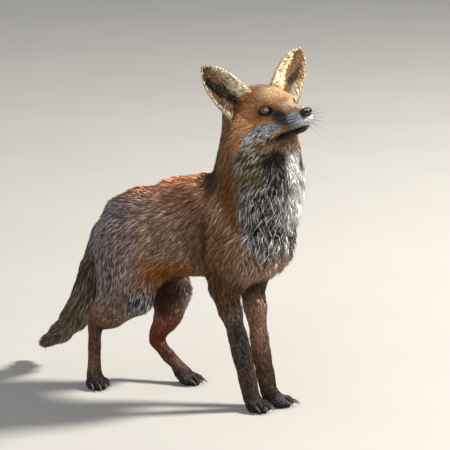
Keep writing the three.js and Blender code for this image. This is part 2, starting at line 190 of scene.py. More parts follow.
class Comb:
    """Where the hair lies, how deep the coat is and how long the hair, blended between the guides."""

    def __init__(self):
        rows = []
        mirrors = np.array(((1, 1, 1), (1, -1, 1)))
        for place, way, depth, length in HEAD_GUIDES.values():
            for mirror in mirrors:
                rows.append((on_head(mirror * place), HEAD_TURN @ unit(mirror * way), depth, length, "head"))
        for place, way, depth, length in BODY_GUIDES.values():
            high = place[2] > NECK_FROM["height"] and place[0] > NECK_FROM["ahead"]
            part = "neck" if high else "trunk"
            for mirror in mirrors:
                rows.append((on_body(mirror * place), unit(mirror * way), depth, length, part))
        for name, points in LIMBS.items():
            for i, (x, y, z, depth, length) in enumerate(points):
                before, after = points[max(i - 1, 0)], points[min(i + 1, len(points) - 1)]
                way = unit(np.subtract(after[:3], before[:3]))
                rows.append((on_body((x, y, z)), way, depth, length, name))
        for name, ((x, y), yaw) in PAWS.items():
            ahead = np.array((math.cos(math.radians(yaw)), math.sin(math.radians(yaw)), 0))
            place = np.array((x, y, PAW_GUIDE["height"])) + ahead * PAW_GUIDE["out"]
            way = unit(ahead - np.array((0, 0, PAW_GUIDE["fall"])))
            leg = name.replace("paw", "leg")
            rows.append((on_body(place), way, PAW_GUIDE["depth"], PAW_GUIDE["length"], leg))
        places, ways, depths, lengths, parts = (np.array(column) for column in zip(*rows))
        self.places, self.ways, self.parts = places, ways, parts
        self.depths, self.lengths = depths * MM, lengths * MM

    def weights(self, points):
        gap2 = ((points[:, None, :] - self.places[None]) ** 2).sum(2)
        w = 1.0 / (gap2 + GUIDE_SPREAD**2) ** 2
        return w / w.sum(1, keepdims=True)

    def over(self, points, size=40000):
        """Way, depth, length and part for each point."""
        ways, depths, lengths, parts = [], [], [], []
        for i in range(0, len(points), size):
            w = self.weights(points[i : i + size])
            ways.append(unit(w @ self.ways))
            depths.append(w @ self.depths)
            lengths.append(w @ self.lengths)
            parts.append(w.argmax(1))
        return np.vstack(ways), np.hstack(depths), np.hstack(lengths), self.parts[np.hstack(parts)]


# ------------------------------------------------------------------ the body's form as a field


class Field:
    """Distances on a grid, in metres, below zero inside."""

    def __init__(self, low, voxel, values):
        self.low, self.voxel, self.values = np.asarray(low, float), voxel, values

    def sample(self, points):
        at = (points - self.low) / self.voxel
        at = np.clip(at, 0, np.array(self.values.shape) - 1.001)
        i = at.astype(int)
        f = at - i
        total = 0
        for corner in range(8):
            step = np.array((corner & 1, corner >> 1 & 1, corner >> 2 & 1))
            share = np.prod(np.where(step, f, 1 - f), axis=1)
            j = i + step
            total = total + share * self.values[j[:, 0], j[:, 1], j[:, 2]]
        return total

    def slope(self, points):
        h = self.voxel
        axes = np.eye(3) * h
        return np.stack([self.sample(points + a) - self.sample(points - a) for a in axes], 1) / (2 * h)


def grid_cells(size):
    """Every whole place of a grid of this size, one to a row."""
    return np.stack(np.meshgrid(*(np.arange(n) for n in size), indexing="ij"), -1).reshape(-1, 3)


def blurred(values, sigma):
    """A grid smoothed along each of its axes."""
    reach = int(math.ceil(2.5 * sigma))
    taps = np.exp(-0.5 * (np.arange(-reach, reach + 1) / sigma) ** 2)
    taps = (taps / taps.sum()).astype(np.float32)
    for axis in range(3):
        padded = np.pad(values, [(reach, reach) if a == axis else (0, 0) for a in range(3)], mode="edge")
        size = values.shape[axis]
        values = sum(t * np.take(padded, range(k, k + size), axis=axis) for k, t in enumerate(taps))
    return values


def read_all(items, name, width=3, kind=np.float32):
    """One property of all of a mesh's items, a row for each."""
    values = np.empty(len(items) * width, kind)
    items.foreach_get(name, values)
    return values.reshape(-1, width)


def triangles_of(mesh):
    mesh.calc_loop_triangles()
    return read_all(mesh.vertices, "co"), read_all(mesh.loop_triangles, "vertices", kind=np.int32)


FLESH = ["trunk", "neck", "tail", "head"] + [
    f"{limb}{part}_{side}" for limb in ("fore", "hind") for part in ("leg", "paw") for side in SIDES
]
VOXEL = 2.5 * MM
CUT_CLOSING = 1.2 * MM  # half the width of the widest cut between two flesh nodes
FAR = 34 * MM  # how far from its surface the form is known
SKIN_CELL = 4.0


def body_field():
    """The distance to the outside of the flesh nodes, with the thin cuts between them closed."""
    points, faces, count = [], [], 0
    for node in FLESH:
        p, t = triangles_of(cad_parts[node].data)
        points.append(p)
        faces.append(t + count)
        count += len(p)
    grid = openvdb.createLinearTransform(voxelSize=VOXEL)
    level = openvdb.FloatGrid.createLevelSetFromPolygons(
        np.vstack(points), triangles=np.vstack(faces).astype(np.uint32), transform=grid, halfWidth=4
    )
    shell, _, quads = level.convertToPolygons(isovalue=CUT_CLOSING, adaptivity=0)
    level = openvdb.FloatGrid.createLevelSetFromPolygons(
        shell, quads=quads.astype(np.uint32), transform=grid, halfWidth=14
    )
    low, high = level.evalActiveVoxelBoundingBox()
    values = np.empty([last - first + 1 for first, last in zip(low, high)], np.float32)
    level.copyToArray(values, ijk=low)
    return Field(np.array(low) * VOXEL, VOXEL, values + CUT_CLOSING)


# Lumps and hollows of the head, the same both sides: middle, half sizes and height.
HEAD_LUMPS = {
    "brow": ((4, 23, 15), (17, 11, 11), 3.6),
    "hollow before the eye": ((25, 13, 3), (12, 8, 9), -3.5),
    "cheekbone": ((-2, 40, -14), (18, 12, 9), 1.5),
    "arch behind the eye": ((2, 41, 0), (14, 11, 9), 4.5),
    "bridge side": ((24, 13, 5), (15, 9, 9), 3.5),
}


def head_lumps(points):
    """How far the head's lumps lift the form at each point, in metres."""
    face = np.abs(from_head(points) * (0, 1, 0)) + from_head(points) * (1, 0, 1)
    lift = np.zeros(len(points))
    for place, radii, height in HEAD_LUMPS.values():
        lift += height * np.exp(-(((face - place) / radii) ** 2).sum(1))
    return lift * MM


# ------------------------------------------------------------------ the skin

# The head's origin is midway between the middles of the eyes.
EYEBALL = {"out": 24.0, "radius": 9.5, "bulge": 0.035, "bulge wide": 0.62, "mesh": (48, 64)}
GAZE = (0.53, 0.84, 0.16)  # the way an eye looks, mirrored for the other
SLIT = (0.81, -0.59, 0.0)  # the way its lids part, back to front
LIDS = {"long": 8.7, "upper": 6.3, "lower": 5.2, "thick": 1.2, "turn": 7.6, "fade": (11.0, 16.0)}
CREASE = {"at": 8.8, "half": 0.8, "deep": 1.1}  # the fold over the upper lid, out from the gaze
BEHIND_BALL = 1.8  # how far the skin lies under the eyeball's surface in the gap
MOUTH = {"back": (6.0, -42.5), "front": (69.0, -32.0), "end": (72, 76), "sag": 2.5, "deep": 2.2, "soft": 1.5}


def eye_axes(s):
    """Middle of the eyeball, and the ways it looks, its lids part and its lids open, on the head."""
    gaze = unit((GAZE[0], s * GAZE[1], GAZE[2]))
    along = np.array((SLIT[0], s * SLIT[1], SLIT[2]))
    along = unit(along - gaze * (along @ gaze))
    up = np.cross(gaze, along)
    return np.array((0, s * EYEBALL["out"], 0)), gaze, along, up * np.sign(up[2])


def smooth_step(x, low, high):
    t = np.clip((x - low) / (high - low), 0, 1)
    return t * t * (3 - 2 * t)


def lid_opening(a, b):
    """Below 1 inside the gap between the lids, from the place along the slit and across it."""
    rise = np.where(b > 0, LIDS["upper"], LIDS["lower"])
    bow = np.clip(1 - (a / LIDS["long"]) ** 2, 0.02, 1) ** 0.85
    return np.abs(b) / (rise * bow) + np.where(np.abs(a) > LIDS["long"], 5.0, 0.0)


def shape_lids(p):
    """Skin near an eye wraps round the eyeball, and dips behind it in the gap between the lids."""
    ball, lid, turn = EYEBALL["radius"], EYEBALL["radius"] + LIDS["thick"], LIDS["turn"]
    rim = math.sqrt(lid**2 - turn**2)
    for s in SIDES.values():
        centre, gaze, along, up = eye_axes(s)
        a, b, out = ((p - centre) @ axis for axis in (along, up, gaze))
        spread = np.hypot(a / 1.12, b)
        skirt = rim - (spread - turn) * turn / rim * 0.8
        cap = np.where(spread < turn, np.sqrt(np.maximum(lid**2 - spread**2, 0)), skirt)
        fold = np.exp(-(((spread - CREASE["at"]) / CREASE["half"]) ** 2))
        cap = cap - fold * smooth_step(b, 0, 3) * CREASE["deep"]
        raised = (out + cap + np.sqrt((out - cap) ** 2 + 1.5)) / 2
        moved = out + (raised - out) * (1 - smooth_step(spread, *LIDS["fade"]))
        hidden = np.sqrt(np.maximum(ball**2 - a**2 - b**2, 1)) - BEHIND_BALL
        moved = np.where(lid_opening(a, b) < 1, hidden, moved)
        near = (out > -9) & (spread < LIDS["fade"][1])
        p = p + gaze * np.where(near, moved - out, 0)[:, None]
    return p


def mouth_height(x):
    """Height of the parting of the lips, from its corner to below the nose."""
    (x0, z0), (x1, z1) = MOUTH["back"], MOUTH["front"]
    t = np.clip((x - x0) / (x1 - x0), 0, 1)
    return z0 + (z1 - z0) * t - MOUTH["sag"] * np.sin(math.pi * t)


def shape_mouth(p, normals):
    """A groove between the lips."""
    x, z = p[:, 0], p[:, 2]
    corner = MOUTH["back"][0]
    span = smooth_step(x, corner - 3, corner + 4) * (1 - smooth_step(x, *MOUTH["end"]))
    groove = np.exp(-(((z - mouth_height(x)) / MOUTH["soft"]) ** 2)) * span
    return p - normals * (groove * MOUTH["deep"])[:, None]


TOES = {"apart": 8.4, "from": 20, "to": 46, "wide": 20, "high": 30, "deep": 2.6, "soft": 1.5}


def toe_grooves(p):
    """How deep the grooves between the toes of each paw are, at places in the body's own frame."""
    sunk = np.zeros(len(p))
    for (x, y), yaw in PAWS.values():
        c, s = math.cos(math.radians(yaw)), math.sin(math.radians(yaw))
        ahead = (p[:, 0] - x) * c + (p[:, 1] - y) * s
        across = (p[:, 1] - y) * c - (p[:, 0] - x) * s
        span = smooth_step(ahead, TOES["from"], TOES["from"] + 9) * (ahead < TOES["to"])
        span = span * (p[:, 2] < TOES["high"]) * (np.abs(across) < TOES["wide"])
        for k in (-1, 0, 1):
            sunk += np.exp(-(((across - k * TOES["apart"]) / TOES["soft"]) ** 2)) * span
    return sunk * TOES["deep"]


def linked(name, data):
    """A new object of the scene, of the given data."""
    obj = bpy.data.objects.new(name, data)
    bpy.context.scene.collection.objects.link(obj)
    return obj


def new_object(name, points, faces, edges=()):
    mesh = bpy.data.meshes.new(name)
    mesh.from_pydata(points, edges, faces)
    return linked(name, mesh)


def points_of(mesh):
    return read_all(mesh.vertices, "co").astype(float)


def normals_of(mesh):
    return read_all(mesh.vertex_normals, "vector").astype(float)


def set_points(mesh, points):
    mesh.vertices.foreach_set("co", np.asarray(points, np.float32).ravel())
    mesh.update()


def refine(mesh, inside):
    """Splits each edge whose two ends `inside` marks."""
    bm = bmesh.new()
    bm.from_mesh(mesh)
    bm.verts.ensure_lookup_table()
    chosen = inside(points_of(mesh))
    edges = [e for e in bm.edges if chosen[e.verts[0].index] and chosen[e.verts[1].index]]
    bmesh.ops.subdivide_edges(bm, edges=edges, cuts=1, use_grid_fill=True)
    bm.to_mesh(mesh)
    bm.free()


def settle(points, field, rounds=3):
    """Moves points along the field's slope to its edge."""
    for _ in range(rounds):
        slope = field.slope(points)
        steep = np.maximum((slope**2).sum(1), 0.2)
        points = points - slope * (field.sample(points) / steep)[:, None]
    return points


HEAD_HIGH = 75  # no part of the face is further above or below the eyes


def near_head(x_low, x_high, reach):
    """A test for points of the face."""

    def inside(points):
        x, y, z = from_head(points).T
        return (x > x_low) & (x < x_high) & (np.abs(y) < reach) & (np.abs(z) < HEAD_HIGH)

    return inside


def near_floor(height):
    """A test for points below a height."""
    return lambda points: points[:, 2] < height * MM


def near_eyes(reach):
    """A test for points near the middle of either eyeball."""

    def inside(points):
        p = from_head(points)
        centres = (eye_axes(s)[0] for s in SIDES.values())
        return np.minimum(*(np.linalg.norm(p - c, axis=1) for c in centres)) < reach

    return inside


# The form is smoothed a little under thin coat and more under deep coat.
FORM_BLUR = {"voxels": (1.1, 2.4), "depths": (5 * MM, 12 * MM)}
DEPTH_CELL = 8 * MM  # between the points at which the coat's depth is worked out


class Skin:
    """The form of the flesh and the one closed skin over it."""

    def __init__(self):
        self.comb = Comb()
        outer = body_field()
        fine, coarse = (blurred(outer.values, sigma) for sigma in FORM_BLUR["voxels"])
        band = np.argwhere(np.abs(outer.values) < FAR)
        places = band * outer.voxel + outer.low
        depth = self.depth_at(places)
        values = np.where(outer.values < 0, -FAR, FAR).astype(np.float32)
        i, j, k = band.T
        share = smooth_step(depth, *FORM_BLUR["depths"])
        form = fine[i, j, k] * (1 - share) + coarse[i, j, k] * share
        values[i, j, k] = form + depth - head_lumps(places)
        self.form = Field(outer.low, outer.voxel, values)

    def depth_at(self, points):
        """The coat's depth at each point, worked out on a coarse grid."""
        low = points.min(0) - DEPTH_CELL
        size = np.ceil((points.max(0) + 2 * DEPTH_CELL - low) / DEPTH_CELL).astype(int)
        depths = self.comb.over(grid_cells(size) * DEPTH_CELL + low)[1]
        return Field(low, DEPTH_CELL, depths.reshape(size)).sample(points)

    def surface(self, cell):
        """The skin's points and faces, about `cell` metres across."""
        cells = [int(n * VOXEL / cell) for n in self.form.values.shape]
        values = self.form.sample(grid_cells(cells) * cell + self.form.low).reshape(cells)
        level = openvdb.FloatGrid(FAR)
        level.transform = openvdb.createLinearTransform(voxelSize=cell)
        level.copyFromArray(np.ascontiguousarray(values, dtype=np.float32))
        points, _, quads = level.convertToPolygons(isovalue=0.0, adaptivity=0)
        return points + self.form.low, quads


@functools.cache
def fox_form():
    """The fox's form, worked out once for its skin, coat and whiskers."""
    return Skin()


# Where the skin's mesh is halved, each inside the one before on the head: the feet come last.
FINER = (near_head(-24, 90, 56), near_head(-12, 90, 44), near_eyes(15.5), near_eyes(13.5), near_floor(29))
FACE = {"behind": -30, "reach": 120}  # lids and lips shape only the skin within this


def build_skin(skin, cell):
    """The skin as one mesh, finer on the head and feet and finest round the eyes."""
    points, quads = skin.surface(cell)
    obj = new_object("skin", points, quads[:, ::-1].tolist())
    mesh = obj.data
    for inside in FINER:
        refine(mesh, inside)
    set_points(mesh, settle(points_of(mesh), skin.form))
    whole = points_of(mesh)
    face = from_head(whole)
    turned = normals_of(mesh) @ HEAD_TURN
    close = (face[:, 0] > FACE["behind"]) & (np.linalg.norm(face, axis=1) < FACE["reach"])
    shaped = shape_lids(shape_mouth(face, turned))
    whole[close] = on_head(shaped[close])
    body = (whole - BODY_AT) / MM
    whole -= normals_of(mesh) * (toe_grooves(body) * MM)[:, None]
    set_points(mesh, whole)
    mesh.shade_smooth()
    return obj


# ------------------------------------------------------------------ small solid pieces


def turn_out(mesh):
    """Turns a closed mesh's normals out and smooths its faces."""
    bm = bmesh.new()
    bm.from_mesh(mesh)
    bmesh.ops.recalc_face_normals(bm, faces=bm.faces)
    bm.to_mesh(mesh)
    bm.free()
    mesh.shade_smooth()


def solid_from(name, points, faces):
    """An object with smooth faces, its normals out."""
    obj = new_object(name, [tuple(p) for p in points], faces)
    turn_out(obj.data)
    return obj


def ring_faces(rings, sides, ends=True, loop=False):
    """Faces of a tube of rings, each of `sides` points, with its ends closed or joined in a loop."""
    faces = []
    for i in range(rings if loop else rings - 1):
        n = (i + 1) % rings
        for j in range(sides):
            k = (j + 1) % sides
            faces.append((i * sides + j, i * sides + k, n * sides + k, n * sides + j))
    if ends and not loop:
        faces.append(tuple(range(sides - 1, -1, -1)))
        faces.append(tuple(range((rings - 1) * sides, rings * sides)))
    return faces


def ball(rows, sides):
    """Unit directions from +X to -X in rings, and the faces between them."""
    polar = np.linspace(0, math.pi, rows + 1)[1:-1]
    turn = np.arange(sides) * 2 * math.pi / sides
    x = np.repeat(np.cos(polar), sides)
    r = np.repeat(np.sin(polar), sides)
    t = np.tile(turn, len(polar))
    ways = np.stack((x, r * np.cos(t), r * np.sin(t)), 1)
    ways = np.vstack((ways, (1, 0, 0), (-1, 0, 0)))
    faces = ring_faces(len(polar), sides, ends=False)
    last = (len(polar) - 1) * sides
    first_pole, last_pole = len(ways) - 2, len(ways) - 1
    for j in range(sides):
        k = (j + 1) % sides
        faces.append((first_pole, k, j))
        faces.append((last_pole, last + j, last + k))
    return ways, faces


def store(obj, name, values):
    """Stores a number or a vector for each point, for the piece's material to read."""
    values = np.asarray(values, np.float32)
    kind, part = ("FLOAT_VECTOR", "vector") if values.ndim == 2 else ("FLOAT", "value")
    obj.data.attributes.new(name, kind, "POINT").data.foreach_set(part, values.ravel())


def build_eyeball(side):
    """An eyeball with its clear front bulging a little; `look` is each point's place across the gaze."""
    centre, gaze, along, up = eye_axes(SIDES[side])
    ways, faces = ball(*EYEBALL["mesh"])
    from_gaze = np.arccos(np.clip(ways[:, 0], -1, 1))
    bulge = 1 + EYEBALL["bulge"] * np.exp(-((from_gaze / EYEBALL["bulge wide"]) ** 4))
    places = ways * (bulge * EYEBALL["radius"])[:, None]
    points = centre + places @ np.array((gaze, along, up))
    obj = solid_from(f"eyeball_{side}", on_head(points), faces)
    store(obj, "look", ways[:, (1, 2, 0)])
    return obj


# The bare rim of the lids: how far it stands over the eyeball, and how thick and flat it is. Where
# it runs into the tear duct it is drawn out ahead and down, sunk, set back and made thinner.
RIM = {"over": 0.75, "thick": 1.35, "flat": 0.7, "mesh": (72, 8)}
TEAR_DUCT = {"from": 2.5, "ahead": 2.6, "down": 1.2, "sunk": 0.9, "back": 0.6, "thinner": 0.5}


def build_lid_rim(side):
    """The bare edge of the lids round the eye, drawn out to the tear duct in front."""
    centre, gaze, along, up = eye_axes(SIDES[side])
    count, sides = RIM["mesh"]
    turn = np.arange(count) * 2 * math.pi / count
    front = -np.sign(along[0])
    a = LIDS["long"] * np.cos(turn)
    rise = np.where(np.sin(turn) > 0, LIDS["upper"], LIDS["lower"])
    b = rise * np.sign(np.sin(turn)) * np.clip(1 - (a / LIDS["long"]) ** 2, 0.0, 1) ** 0.85
    tear = smooth_step(a * front * -1, LIDS["long"] - TEAR_DUCT["from"], LIDS["long"])
    a = a - front * tear * TEAR_DUCT["ahead"]
    b = b - tear * TEAR_DUCT["down"]
    radius = EYEBALL["radius"] + RIM["over"] - tear * TEAR_DUCT["sunk"]
    out = np.sqrt(radius**2 - np.minimum(a**2 + b**2, radius**2 * 0.93)) - tear * TEAR_DUCT["back"]
    line = np.stack((a, b, out), 1)
    ahead = unit(np.roll(line, -1, 0) - np.roll(line, 1, 0))
    lift = unit(line - ahead * (line * ahead).sum(1)[:, None])
    across = np.cross(ahead, lift)
    thick = RIM["thick"] - TEAR_DUCT["thinner"] * tear
    points = []
    for j in range(sides):
        angle = 2 * math.pi * j / sides
        edge = lift * math.cos(angle) * RIM["flat"] + across * math.sin(angle)
        points.append(line + edge * thick[:, None])
    points = centre + np.stack(points, 1).reshape(-1, 3) @ np.array((along, up, gaze))
    return solid_from(f"lid_rim_{side}", on_head(points), ring_faces(count, sides, loop=True))


# The bare nose and what is on it, in millimetres to either side of its middle and up from it.
NOSE = {"at": (68.3, 0.0, -13.0), "radii": (8.0, 9.6, 7.5), "square": 2.7, "mesh": (110, 150)}
NOSTRIL = {"at": (4.3, 0.6), "half": (2.1, 2.3), "deep": 3.6}
NOSE_SLIT = {"from": 4.0, "to": (8.6, 9.3), "fall": 0.42, "half": 0.75, "deep": 2.0}
NOSE_GROOVE = {"half": 0.55, "deep": 1.1}
NOSE_WING = {"at": (6.6, 2.4), "half": (1.7, 1.9), "high": 0.9}
NOSE_LOBE = {"at": (6.0, -3.6), "half": (2.2, 1.8), "high": 0.5}


def nose_mound(side, high, shape):
    """1 at the middle of a mound on the nose, falling smoothly to 0 round it."""
    (at_side, at_high), (wide, tall) = shape["at"], shape["half"]
    return np.exp(-(((side - at_side) / wide) ** 2) - ((high - at_high) / tall) ** 2)


def build_nose():
    """The bare nose: two comma nostrils that open to the sides, and a groove down the middle."""
    ways, faces = ball(*NOSE["mesh"])
    x, _, z = ways.T
    square = (np.abs(ways) ** NOSE["square"]).sum(1) ** (-1 / NOSE["square"])
    places = ways * square[:, None] * NOSE["radii"]
    places[:, 1] *= 1 + 0.08 * z - 0.16 * smooth_step(-z, 0.2, 1.0)
    places[:, 0] -= 1.6 * smooth_step(z, 0.1, 1.0) * smooth_step(x, 0, 0.8)
    side, high = np.abs(places[:, 1]), places[:, 2]
    front = smooth_step(x, 0.0, 0.45)
    (hole_side, hole_high), (hole_wide, hole_tall) = NOSTRIL["at"], NOSTRIL["half"]
    hole = ((side - hole_side) / hole_wide) ** 2 + ((high - hole_high) / hole_tall) ** 2
    hole = np.exp(-(hole**2)) * front
    slit_at = -NOSE_SLIT["fall"] * np.maximum(side - NOSE_SLIT["from"], 0) ** 1.15
    slit = np.exp(-(((high - slit_at) / NOSE_SLIT["half"]) ** 4))
    slit = slit * smooth_step(side, NOSE_SLIT["from"], NOSE_SLIT["from"] + 1.5)
    slit = slit * (1 - smooth_step(side, *NOSE_SLIT["to"])) * smooth_step(x, -0.3, 0.05)
    cheek = smooth_step(x, -0.2, 0.4)
    raised = nose_mound(side, high, NOSE_WING) * cheek * NOSE_WING["high"]
    raised = raised + nose_mound(side, high, NOSE_LOBE) * cheek * NOSE_LOBE["high"]
    groove = np.exp(-((places[:, 1] / NOSE_GROOVE["half"]) ** 2)) * smooth_step(x, 0.0, 0.4)
    groove = groove * (0.35 + 0.65 * smooth_step(-high, -1.5, 1.5))
    sunk = hole * NOSTRIL["deep"] + slit * NOSE_SLIT["deep"] + groove * NOSE_GROOVE["deep"]
    places = places - ways * (sunk - raised)[:, None]
    return solid_from("nose_leather", on_head(places + NOSE["at"]), faces)


# The claws' sizes, their roots' height, and how far ahead of the paw's middle the toes end.
CLAW = {"length": 12.6, "thick": 5.0, "wide": 0.68, "tip": 0.25, "root": 10.2, "drop": 5.6, "sunk": 5.0}
CLAW_ROW = {"apart": 8.4, "fan": 3.0, "middle toes": 43.0, "outer toes": 34.0, "floor": 0.4}
CLAW_MESH = (14, 12)


def build_claw(paw, side, number, sizes):
    """One curved claw, deeper than it is wide, from inside its toe to a blunt point."""
    (x, y), yaw = PAWS[f"{paw}paw_{side}"]
    k = number - 2.5
    turn = math.radians(yaw + CLAW_ROW["fan"] * k)
    end = CLAW_ROW["outer toes" if abs(k) > 1 else "middle toes"]
    rings, sides = CLAW_MESH
    thick = sizes.claw_thickness / MM / 2
    points, lengths = [], []
    for i in range(rings):
        t = i / (rings - 1)
        radius = thick * (1 - (1 - CLAW["tip"] / thick) * t**1.4)
        ahead = end - CLAW["sunk"] + sizes.claw_length / MM * t
        height = CLAW["root"] - CLAW["drop"] * t * t
        for j in range(sides):
            angle = 2 * math.pi * j / sides
            across = k * CLAW_ROW["apart"] + radius * CLAW["wide"] * math.cos(angle)
            lift = height + radius * math.sin(angle)
            dx = ahead * math.cos(turn) - across * math.sin(turn)
            dy = ahead * math.sin(turn) + across * math.cos(turn)
            points.append((x + dx, y + dy, max(lift, CLAW_ROW["floor"])))
            lengths.append((t, math.cos(angle), math.sin(angle)))
    name = {"fore": "front", "hind": "back"}[paw]
    obj = solid_from(f"{name}_claw_{side}_{number}", on_body(points), ring_faces(rings, sides))
    store(obj, "growth", lengths)
    return obj


# Ear shells, in the head's frame: a cupped leaf, turned the same way on both sides.
EAR = {"at": (-37.0, 43.0, 14.5), "lean": 37.5, "turn": -22.0, "sunk": 20.0}
EAR.update({"long": 85.5, "half": 26.4, "cup": 20.0, "wall": 2.6})
EAR_GROWN = {"right": 1.075, "left": 1.0}
EAR_MESH = (48, 26)
EAR_TOP = 0.9995  # the last row of the shell, as a share of the ear's height


def ear_axes(side):
    """How an ear is turned, and where its base is, in the head's frame."""
    s = SIDES[side]
    lean = Matrix.Rotation(math.radians(-s * EAR["lean"]), 3, "X")
    turn = Matrix.Rotation(math.radians(EAR["turn"]), 3, "Z")
    at = np.array(EAR["at"]) * (1, s, 1)
    return np.array(lean @ turn), at


def ear_place(u, v, out):
    """A place on the ear's own leaf: up it, across it, and in front of its inner face."""
    up = np.maximum(u, 0)
    wide = EAR["half"] * np.maximum(1 - up**2.8, 0) ** 0.6
    deep = EAR["cup"] * (1 - 0.72 * up)
    return np.stack((out - 1.0 - deep * (1 - v * v), wide * v, u * EAR["long"]), -1)


def build_ear(side, sizes):
    """A thin cupped shell. `leaf` is each point's place: how far up, how far inwards, and which face."""
    turn, at = ear_axes(side)
    rows, spans = EAR_MESH
    grown = EAR_GROWN[side] * sizes.ear_length / (EAR["long"] * MM)
    low = -EAR["sunk"] / EAR["long"]
    u = low + (EAR_TOP - low) * np.sin(np.linspace(0, math.pi / 2, rows))
    v = np.linspace(-1, 1, spans)
    rings, leaf = [], []
    for level in u:
        ups = np.full(spans, level)
        inner = ear_place(ups, v, np.zeros(spans))
        thick = EAR["wall"] * (1 - 0.55 * v * v) * (1 - 0.35 * max(level, 0))
        thick = thick * (0.35 + 0.65 * min((1 - level) / 0.06, 1) ** 0.5)
        outer = ear_place(ups, v, -thick)[::-1] * (1, 1.02, 1)
        rings.append(np.vstack((inner, outer)))
        inward = -SIDES[side] * v
        leaf.append(np.stack((ups, inward, ups * 0 + 1), 1))
        leaf.append(np.stack((ups, inward[::-1], ups * 0), 1))
    points = np.vstack(rings) * (1, grown, grown) @ turn.T + at
    obj = solid_from(f"ear_shell_{side}", on_head(points), ring_faces(rows, 2 * spans))
    store(obj, "leaf", np.vstack(leaf))
    return obj


# ------------------------------------------------------------------ the coat

# How far apart locks of each length grow, both in millimetres, and how much further on the legs.
COAT = {"lengths": (2, 5, 9, 18, 40), "gaps": (0.62, 0.72, 1.0, 1.3, 2.0), "limbs": 1.35}
ROOT_SUNK = {"skin": 0.8 * MM, "ear": 0.4 * MM}  # how far under the surface a lock starts
GROUP_SIZE = 4.6  # the width of a group of locks, in gaps between locks
CELL_PRIMES = (73856093, 19349663, 83492791)  # these make one number of a cell's place in its grid
LOCK_LEVELS = ((1, 0, 11), (2, 11, 37), (3, 37, 99))  # lengths up a lock, for hair between these lengths
LOCK_SHAPES = {1: (1.0,), 2: (0.9, 0.85), 3: (0.8, 1.0, 0.7)}  # widths up a lock, by its number of lengths
LOCK_WIDTHS = {1: 1.5, 2: 1.2, 3: 1.2}  # in gaps between locks, by its number of lengths
PATCH = 0.003  # across a lock's patch of the unwrap
# How far locks stray from the lie of the coat, and how far their tips are drawn together: with no
# length, more for each millimetre of it, and at most.
STRAY = (0.07, 0.005, 0.28)
GATHER = (0.1, 0.01, 0.46)
# How unequal locks and whiskers are: the least share of each measure, and the random part above it.
UNEVEN = {
    "length": (0.8, 0.4),
    "rise": (0.7, 0.42),
    "standing": (0.6, 0.8),
    "gathering": (0.5, 0.7),
    "ear length": (0.75, 0.5),
    "ear rise": (0.6, 0.7),
    "ear gathering": (0.25, 0.3),
    "whisker": (0.85, 0.3),
}


def uneven(measure, rng, count=None):
    least, above = UNEVEN[measure]
    return least + above * rng.random(count)


def on_limb(parts):
    return np.char.find(parts.astype(str), "leg") > 0


def root_gap(lengths, parts, coat):
    """How far apart the locks grow, in metres, from their lengths and parts of the body."""
    gaps = np.interp(lengths, np.array(COAT["lengths"]) * MM, np.array(COAT["gaps"]) * MM)
    return gaps * np.where(on_limb(parts), COAT["limbs"], 1.0) * coat.spacing


def scattered(surface, density, rng, values=None):
    """Random places on a surface at so many to the square metre.

    Gives each one's place, the way out there, its place on the unwrap and the value of `values`."""
    points, corners, normals, uv = surface
    a, b, c = (points[corners[:, i]] for i in range(3))
    area = np.linalg.norm(np.cross(b - a, c - a), axis=1) / 2
    count = np.floor(area * density + rng.random(len(area))).astype(int)
    which = np.repeat(np.arange(len(area)), count)
    r, s = np.sqrt(rng.random(len(which))), rng.random(len(which))
    shares = np.stack((1 - r, r * (1 - s), r * s), 1)[..., None]
    places = (points[corners[which]] * shares).sum(1)
    outward = unit((normals[corners[which]] * shares).sum(1))
    uvs = (uv[which] * shares).sum(1)
    return places, outward, uvs, None if values is None else (values[corners[which]] * shares).sum(1)


# How much wider than the gap between the lids, and than the nose, the bare skin is, how high it is
# along the lips and from where to where, and how high up the soles.
BARE = {"lids": (0.93, 0.86), "nose": 1.12, "lips": 1.3, "from": 5, "to": 76, "side": 32, "soles": 2.2}


def bare(points):
    """Where no hair grows: between the lids, on the nose, along the lips and under the paws."""
    face = from_head(points)
    none = np.zeros(len(points), bool)
    for s in SIDES.values():
        centre, gaze, along, up = eye_axes(s)
        a, b, out = ((face - centre) @ axis for axis in (along, up, gaze))
        none |= (lid_opening(a * BARE["lids"][0], b * BARE["lids"][1]) < 1) & (out > 0)
    none |= (((face - NOSE["at"]) / NOSE["radii"]) ** 2).sum(1) < BARE["nose"] ** 2
    x, y, z = face.T
    lips = (np.abs(z - mouth_height(x)) < BARE["lips"]) & (np.abs(y) < BARE["side"])
    none |= lips & (x > BARE["from"]) & (x < BARE["to"])
    none |= points[:, 2] < BARE["soles"] * MM
    return none


class Roots(namedtuple("Roots", "places normals ways lengths depths uvs parts chance")):
    """Where locks grow from, with the way, length and depth of each and its place on the unwrap."""

    def kept(self, mask):
        return Roots(*(values[mask] for values in self))


def unwrap(obj):
    """An unwrap of the piece's own shape, in a map named OFBake."""
    obj.data.uv_layers.new(name="OFBake")
    bpy.context.view_layer.objects.active = obj
    obj.select_set(True)
    bpy.ops.object.mode_set(mode="EDIT")
    bpy.ops.mesh.select_all(action="SELECT")
    bpy.ops.uv.smart_project(angle_limit=math.radians(66), island_margin=0.002)
    bpy.ops.object.mode_set(mode="OBJECT")
    obj.select_set(False)


def surface_data(obj):
    """Points, triangles, point normals, and each triangle corner's place on the unwrap."""
    mesh = obj.data
    points, corners = triangles_of(mesh)
    loops = read_all(mesh.loop_triangles, "loops", kind=np.int32)
    uv = read_all(mesh.uv_layers["OFBake"].uv, "vector", 2)
    return points.astype(float), corners, normals_of(mesh), uv[loops]


